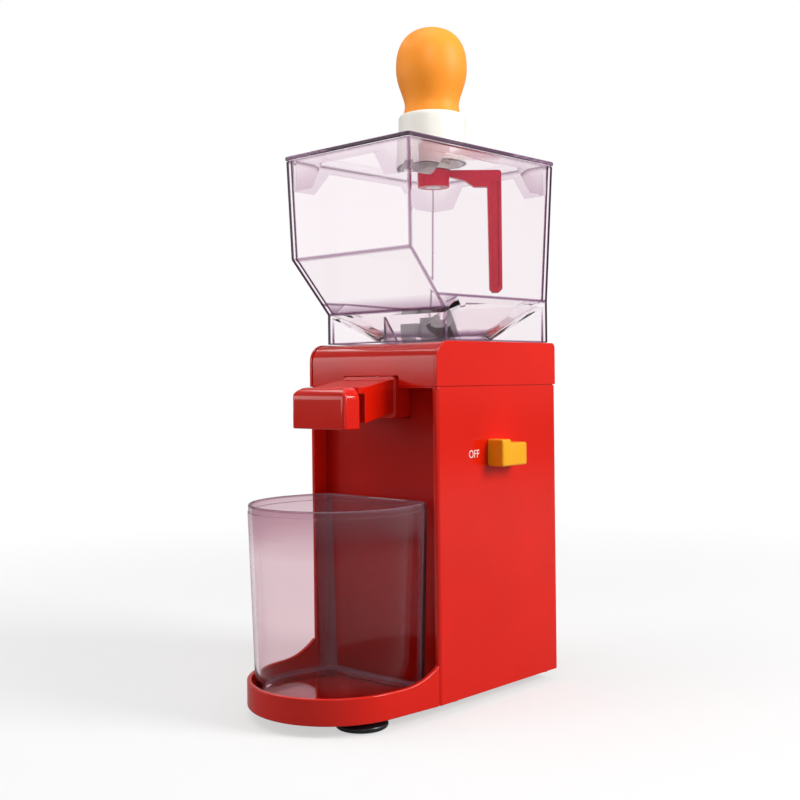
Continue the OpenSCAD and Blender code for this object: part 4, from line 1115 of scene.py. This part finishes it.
    def build(self, finishes: Finishes) -> None:
        """Builds the hopper.

        Args:
            finishes: The object's finishes.
        """
        rows, edge = self.rows()
        for made in (grid_piece("hopper_wall", rows, True, edge=edge), self.rib_plate()):
            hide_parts("hopper")
            finishes.dress(made, "clear_bin", "hopper")


@dataclass
class HopperLid(RingWall):
    """The clear lid: a plate with a rolled rim, a lip below it and a deep tab at each corner."""

    half: float = 44.3
    front: float = -16.9
    back: float = 97.9
    low: float = 269.3
    thick: float = 2.0
    lip: Triple = (40.9, -13.5, 94.5)
    lip_wall: float = 1.5
    lip_deep: float = 4.0
    tab: float = 16.0
    hole: float = 9.02
    tab_tint: float = 0.06
    rim_tint: float = 0.4

    def lip_ring(self, inset: float, deep: bool) -> np.ndarray:
        """Works out a ring of the lip.

        A point lies on a tab where it is less than the tab's width from a corner both ways.

        Args:
            inset: Distance inwards from the lip's outer side.
            deep: True along the lower edge with the tabs, False at the root.

        Returns:
            Array (points, 3).
        """
        x0, y0, y1 = self.lip
        ring = self.ring(x0 - inset, y0 + inset, y1 - inset, self.low, 1.0)
        if deep:
            at_tab = np.abs(ring[:, 0]) > x0 - self.tab
            at_tab &= (ring[:, 1] < y0 + self.tab) | (ring[:, 1] > y1 - self.tab)
            ring[:, 2] -= np.where(at_tab, self.tab, self.lip_deep)
        return ring

    def plate(self, inset: float, z: float) -> np.ndarray:
        """Returns a ring of the plate's rim."""
        return self.ring(self.half - inset, self.front + inset, self.back - inset, z, 2.0)

    def build(self, finishes: Finishes) -> None:
        """Builds the lid as one closed loop of rings, from the hole below to the hole above.

        Args:
            finishes: The object's finishes.
        """
        top = self.low + self.thick
        made = [(self.circle(self.hole, self.low), 0.0), (self.lip_ring(self.lip_wall, False), 0.0)]
        made += [(self.lip_ring(inset, True), self.tab_tint) for inset in (self.lip_wall, 0.0)]
        made.append((self.lip_ring(0.0, False), 0.0))
        made += [(self.plate(inset, z), tint) for inset, z, tint in (
            (1.2, self.low, 0.0), (0.3, self.low, self.rim_tint), (0.0, self.low + 0.4, self.rim_tint),
            (0.0, top - 0.4, self.rim_tint), (0.3, top, self.rim_tint), (1.2, top, 0.0))]
        made.append((self.circle(self.hole, top), 0.0))
        edge = np.stack([np.full(self.points(), weight) for _, weight in made])
        lid = grid_piece("hopper_lid_plate", np.stack([ring for ring, _ in made]), True, edge=edge)
        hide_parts("hopper_lid")
        finishes.dress(lid, "clear_bin", "lid")


@dataclass
class LidAndStirrer:
    """The lid, its collar, the knob and the stirrer that the knob turns."""

    axis: Pair = (0.0, 49.0)
    lid_top: float = 271.3
    lid_low: float = 269.3
    collar: Pair = (17.8, 24.5)
    collar_wall: float = 2.2
    roof: float = 3.0
    socket: float = 2.6
    neck: float = 9.0
    hole: float = 4.05
    knob_low: float = 296.1
    knob: Pair = (18.9, 46.0)
    waist: Pair = (14.4, 5.0)
    bulb: float = 24.5
    flare: float = 0.9
    dome_power: float = 2.4
    neck_power: float = 0.8
    turns: int = 128

    def collar_profile(self) -> np.ndarray:
        """Works out the collar's closed outline, hollow below its roof.

        Returns:
            Array (points, 2) of radius and height.
        """
        r, h = self.collar
        top, low = self.lid_top + h, self.lid_low - self.socket
        inner, under = r - self.collar_wall, top - self.roof
        outline = np.array([
            [self.hole, low], [self.neck, low], [self.neck, under], [inner, under],
            [inner, self.lid_top], [r, self.lid_top], [r, top], [self.hole, top],
        ])
        return rounded(outline, np.array([0.2, 0.3, 0.5, 0.5, 0.3, 0.4, 2.4, 0.4]), 5, True)

    def knob_profile(self) -> np.ndarray:
        """Works out the knob's outline: a flared foot, a waist and a bulb.

        Above the bulb's widest height b the radius is R (1 - ((h - b) / (H - b))^p)^(1 / p).
        Between waist and bulb it follows a half cosine wave of a power of the height, and below
        the waist a quarter of one.

        Returns:
            Array (points, 2) of radius and height.
        """
        wide, tall = self.knob
        r0, h0 = self.waist
        h = tall * (1 - np.cos(np.linspace(0, math.pi, 73)[:-1])) / 2
        rise = np.clip((h - self.bulb) / (tall - self.bulb), 0, 1)
        upper = wide * (1 - rise**self.dome_power) ** (1 / self.dome_power)
        swell = np.clip((h - h0) / (self.bulb - h0), 0, 1) ** self.neck_power
        middle = r0 + (wide - r0) * (1 - np.cos(math.pi * swell)) / 2
        lower = r0 + self.flare * (1 - np.cos(math.pi / 2 * (h0 - h) / h0))
        r = np.where(h > self.bulb, upper, np.where(h > h0, middle, lower))
        body = np.stack([r, h], -1)
        foot = rounded(np.array([[self.hole, 0.0], [r[0], 0.0], [r[3], h[3]]]), 0.5, 4)
        bore = np.array([[0, self.bulb], [self.hole, self.bulb], [self.hole, 0.0]])
        top = np.array([[0, h[-1]]])
        return np.concatenate([bore, foot, body[4:], top]) + [0, self.knob_low]

    def build(self, finishes: Finishes) -> None:
        """Builds the lid's and the stirrer's pieces.

        Args:
            finishes: The object's finishes.
        """
        HopperLid().build(finishes)
        Moulding("stir_arm", "crimson_stirrer", "stirrer", 0.6).build(finishes)
        collar = lathe("stir_collar_turned", self.collar_profile(), self.axis, self.turns)
        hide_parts("stir_collar")
        finishes.dress(collar, "cream_collar", "lid")
        knob = lathe("stir_knob_turned", self.knob_profile(), self.axis, self.turns)
        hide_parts("stir_knob")
        finishes.dress(knob, "orange_knob", "stirrer")


@dataclass
class Cup:
    """The clear cup: a round front, a flat back with round corners, a tapered wall and a floor.

    Its plan has so many points along the round front, each side, each back corner and the back.
    """

    radius: float = 42.2
    centre_y: float = -25.0
    draft: float = 3.2
    back: float = 3.8
    back_half: float = 38.0
    corner: float = 6.0
    low: float = 3.3
    height: float = 93.0
    wall: float = 2.0
    floor: float = 2.5
    rear_tint: float = 0.22
    plan: tuple[int, int, int, int] = (61, 6, 10, 20)

    def section(self, inset: float, part: float) -> np.ndarray:
        """Works out the cup's plan, anticlockwise from its left over the front.

        Args:
            inset: Distance inwards from the outer wall.
            part: Height as a share of the cup's, which sets the draft.

        Returns:
            Array (points, 2).
        """
        taper = self.draft * (1 - part)
        r = self.radius - taper - inset
        half = self.back_half - taper - inset
        at_front, at_side, at_corner, at_back = self.plan
        front = math.pi + np.linspace(0, math.pi, at_front)
        arc = np.stack([r * np.cos(front), self.centre_y + r * np.sin(front)], -1)
        lean = np.linspace(0, 1, at_side + 2)[1:-1]
        corner_y = self.back - inset - self.corner
        a = np.linspace(0, math.pi / 2, at_corner)
        right = np.stack([half - self.corner + self.corner * np.cos(a),
                          corner_y + self.corner * np.sin(a)], -1)
        left = right[::-1] * [-1, 1]
        # each side bows from the round front to its back corner, as a quarter of a cosine wave
        bow = np.stack([half + (r - half) * np.cos(lean * math.pi / 2),
                        self.centre_y + (corner_y - self.centre_y) * lean], -1)
        rear = np.stack([np.linspace(right[-1, 0], left[0, 0], at_back + 2)[1:-1],
                         np.full(at_back, self.back - inset)], -1)
        return np.concatenate([arc, bow, right, rear, left, bow[::-1] * [-1, 1]])

    def rows(self) -> tuple[np.ndarray, np.ndarray]:
        """Works out rings from the middle of the underside over the rim to the middle of the floor.

        Each step is (height, inset, tint); the tint is deep at the rim and at the foot's round, and
        nowhere less than the rear tint at the back corners.

        Returns:
            Array (rings, points, 3), and array (rings, points) of tints.
        """
        h, w = self.height, self.wall
        steps = [(0.0, 1.6, 0.2), (0.0, 1.0, 0.5), (0.4, 0.25, 0.5), (1.6, 0.0, 0.1)]
        steps += [(z, 0.0, 0.0) for z in np.linspace(6, h - 24.0, 6)]
        steps += [(h - 14.0, 0.0, 0.1), (h - 3.6, 0.0, 0.13), (h - 3.4, 0.35, 0.3), (h - 3.0, 0.35, 0.13),
                  (h - 1.2, 0.35, 0.15), (h - 0.5, 0.35, 0.35), (h, 0.8, 0.35), (h, w - 0.5, 0.35),
                  (h - 0.5, w, 0.35), (h - 1.2, w, 0.15), (h - 14.0, w, 0.1)]
        steps += [(z, w, 0.0) for z in np.linspace(h - 24, self.floor + 2.5, 6)]
        steps += [(self.floor + 0.7, w + 0.6, 0.4), (self.floor, w + 2.4, 0.2)]
        count = len(self.section(0, 0))
        rings = [np.column_stack([self.section(i, z / h), np.full(count, self.low + z)]) for z, i, _ in steps]
        under = [self.to_pole(rings[0], s, 0.6) for s in (0.0, 0.5, 0.94)]
        inside = [self.to_pole(rings[-1], s, 0.0) for s in (0.9, 0.5, 0.0)]
        poles = [0, 0, 0]
        weight = poles + [tint for _, _, tint in steps] + poles
        rear = np.abs(rings[0][:, 0]) > self.back_half - self.draft - self.corner - 1.6
        rear &= rings[0][:, 1] > self.back - self.corner - 3.0
        wall = poles + [self.rear_tint] * len(steps) + poles
        edge = np.maximum(np.outer(weight, np.ones(count)), np.outer(wall, rear))
        return np.stack(under + rings + inside), edge

    def to_pole(self, ring: np.ndarray, share: float, lift: float) -> np.ndarray:
        """Returns a ring shrunk to a share of its size about its middle, and lifted."""
        middle = np.array([0.0, self.centre_y + 4.0, ring[0, 2]])
        return middle + (ring - middle) * [share, share, 0] + [0, 0, lift]

    def build(self, finishes: Finishes) -> None:
        """Builds the cup.

        Args:
            finishes: The object's finishes.
        """
        rows, edge = self.rows()
        made = grid_piece("cup_wall", rows, edge=edge)
        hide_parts("cup")
        finishes.dress(made, "clear_cup", "cup")


# ---- studio


@dataclass
class Studio:
    """Camera, lamps, floor and world. The camera stands where the photograph's did."""

    image: float = 800.0
    focal: float = 1130.53
    azimuth: float = 43.47
    roll: float = 0.62
    eye: Triple = (401.63, -401.60, 155.98)
    horizon: float = 378.39
    sensor: float = 36.0
    in_gloss: float = 0.3
    world_light: float = 0.16

    def camera(self) -> None:
        """Sets the camera: level, turned by the azimuth, with its horizon moved by a shift."""
        data = bpy.data.cameras.new("camera")
        data.sensor_width = self.sensor
        data.lens = self.sensor * self.focal / self.image
        data.shift_y = (self.horizon - self.image / 2) / self.image
        data.clip_start, data.clip_end = 0.02, 30.0
        made = new_object("camera", data)
        a = math.radians(self.azimuth)
        look = Vector((-math.sin(a), math.cos(a), 0.0))
        turn = look.to_track_quat("-Z", "Y") @ Quaternion((0, 0, 1), -math.radians(self.roll))
        made.location = Vector(HOME.place(np.array(self.eye)))
        made.rotation_mode = "QUATERNION"
        made.rotation_quaternion = turn
        bpy.context.scene.camera = made

    def hang(self, lamp: bpy.types.Light, place: Triple, aim: Triple) -> None:
        """Hangs a lamp, turned to the point that it faces; clear pieces don't show it.

        Args:
            lamp: The lamp.
            place: Where it hangs, in metres.
            aim: The point that it faces.
        """
        made = new_object(lamp.name, lamp)
        made.visible_transmission = False
        made.location = place
        made.rotation_euler = (Vector(aim) - Vector(place)).to_track_quat("-Z", "Y").to_euler()

    def panel(self, name: str, place: Triple, size: Pair, power: float,
              aim: Triple = (0.0, 0.0, 0.17)) -> None:
        """Adds a soft box.

        Args:
            name: The lamp's name.
            place: Where it hangs, in metres.
            size: Its width and height in metres.
            power: Its power in watts.
            aim: The point that it faces.
        """
        lamp = bpy.data.lights.new(name, "AREA")
        lamp.shape, lamp.size, lamp.size_y, lamp.energy = "RECTANGLE", size[0], size[1], power
        self.hang(lamp, place, aim)

    def spot(self, name: str, place: Triple, aim: Triple, power: float, beam: float) -> None:
        """Adds a soft spot.

        Args:
            name: The lamp's name.
            place: Where it hangs, in metres.
            aim: The point that it faces.
            power: Its power in watts.
            beam: Its beam in degrees.
        """
        lamp = bpy.data.lights.new(name, "SPOT")
        lamp.energy, lamp.spot_size, lamp.spot_blend = power, math.radians(beam), 0.5
        lamp.shadow_soft_size = 0.08
        self.hang(lamp, place, aim)

    def floor(self) -> None:
        """Adds the plain floor, a wide disc under the feet."""
        a = np.linspace(0, 2 * math.pi, 96, endpoint=False)
        r = np.array([0.0, 0.5, 2.0, 6.0])[:, None]
        rows = np.stack([r * np.cos(a), r * np.sin(a), -0.0004 + 0 * a * r], -1) / MM - HOME.shift()
        made = grid_piece("floor", rows, skin=Skin.SMOOTH)
        if made.data.polygons[0].normal.z < 0:
            made.data.flip_normals()
        made.data.materials.append(PlainSurface("floor_paper").material())

    def world(self) -> None:
        """Sets a soft world: white where it is seen, also in gloss and through clear pieces."""
        world = bpy.data.worlds.new("studio")
        n = Nodes(world)
        path = n.add("LightPath").outputs
        gloss = n.maths("MULTIPLY", path["Is Glossy Ray"], self.in_gloss)
        seen = n.maths("MAXIMUM", n.maths("MAXIMUM", path["Is Camera Ray"], gloss),
                       path["Is Transmission Ray"])
        light = n.add("Background", Color=(1.0, 0.99, 0.98, 1.0), Strength=self.world_light)
        white = n.add("Background", Color=(1.0, 1.0, 1.0, 1.0), Strength=1.0)
        n.finish(n.mix(seen, light, white))
        bpy.context.scene.world = world

    def build(self) -> None:
        """Builds the studio."""
        self.camera()
        self.floor()
        self.world()
        self.panel("side_box", (1.15, 0.5, 0.75), (0.6, 0.8), 19.0)
        self.panel("top_box", (0.0, -0.1, 1.3), (0.8, 0.8), 4.5)
        self.panel("left_panel", (-0.80, -0.74, 0.375), (0.9, 0.40), 3.0, (0.0, 0.0, 0.35))
        self.panel("left_line", (-0.76, -0.20, 0.94), (0.6, 0.10), 0.8)
        self.panel("front_high", (-0.36, -0.68, 1.12), (0.5, 0.5), 2.2)
        self.panel("edge_line", (0.80, -0.66, 0.40), (0.07, 0.7), 0.55)
        self.spot("knob_spot", (0.75, -0.95, 1.0), (0.0, 0.035, 0.325), 34.0, 8.0)
        bpy.context.scene.view_settings.view_transform = "Standard"


def main() -> None:
    """Builds the looks of the whole object in order."""
    logging.basicConfig(level=logging.INFO, format="%(name)s: %(message)s")
    Studio().build()
    finishes = Finishes()
    finishes.dress_cad()
    Housing().build(finishes)
    SuctionFeet().build(finishes)
    SwitchKnob().build(finishes)
    SwitchMark().build(finishes)
    Hopper().build(finishes)
    LidAndStirrer().build(finishes)
    Cup().build(finishes)


if __name__ == "__main__":
    main()
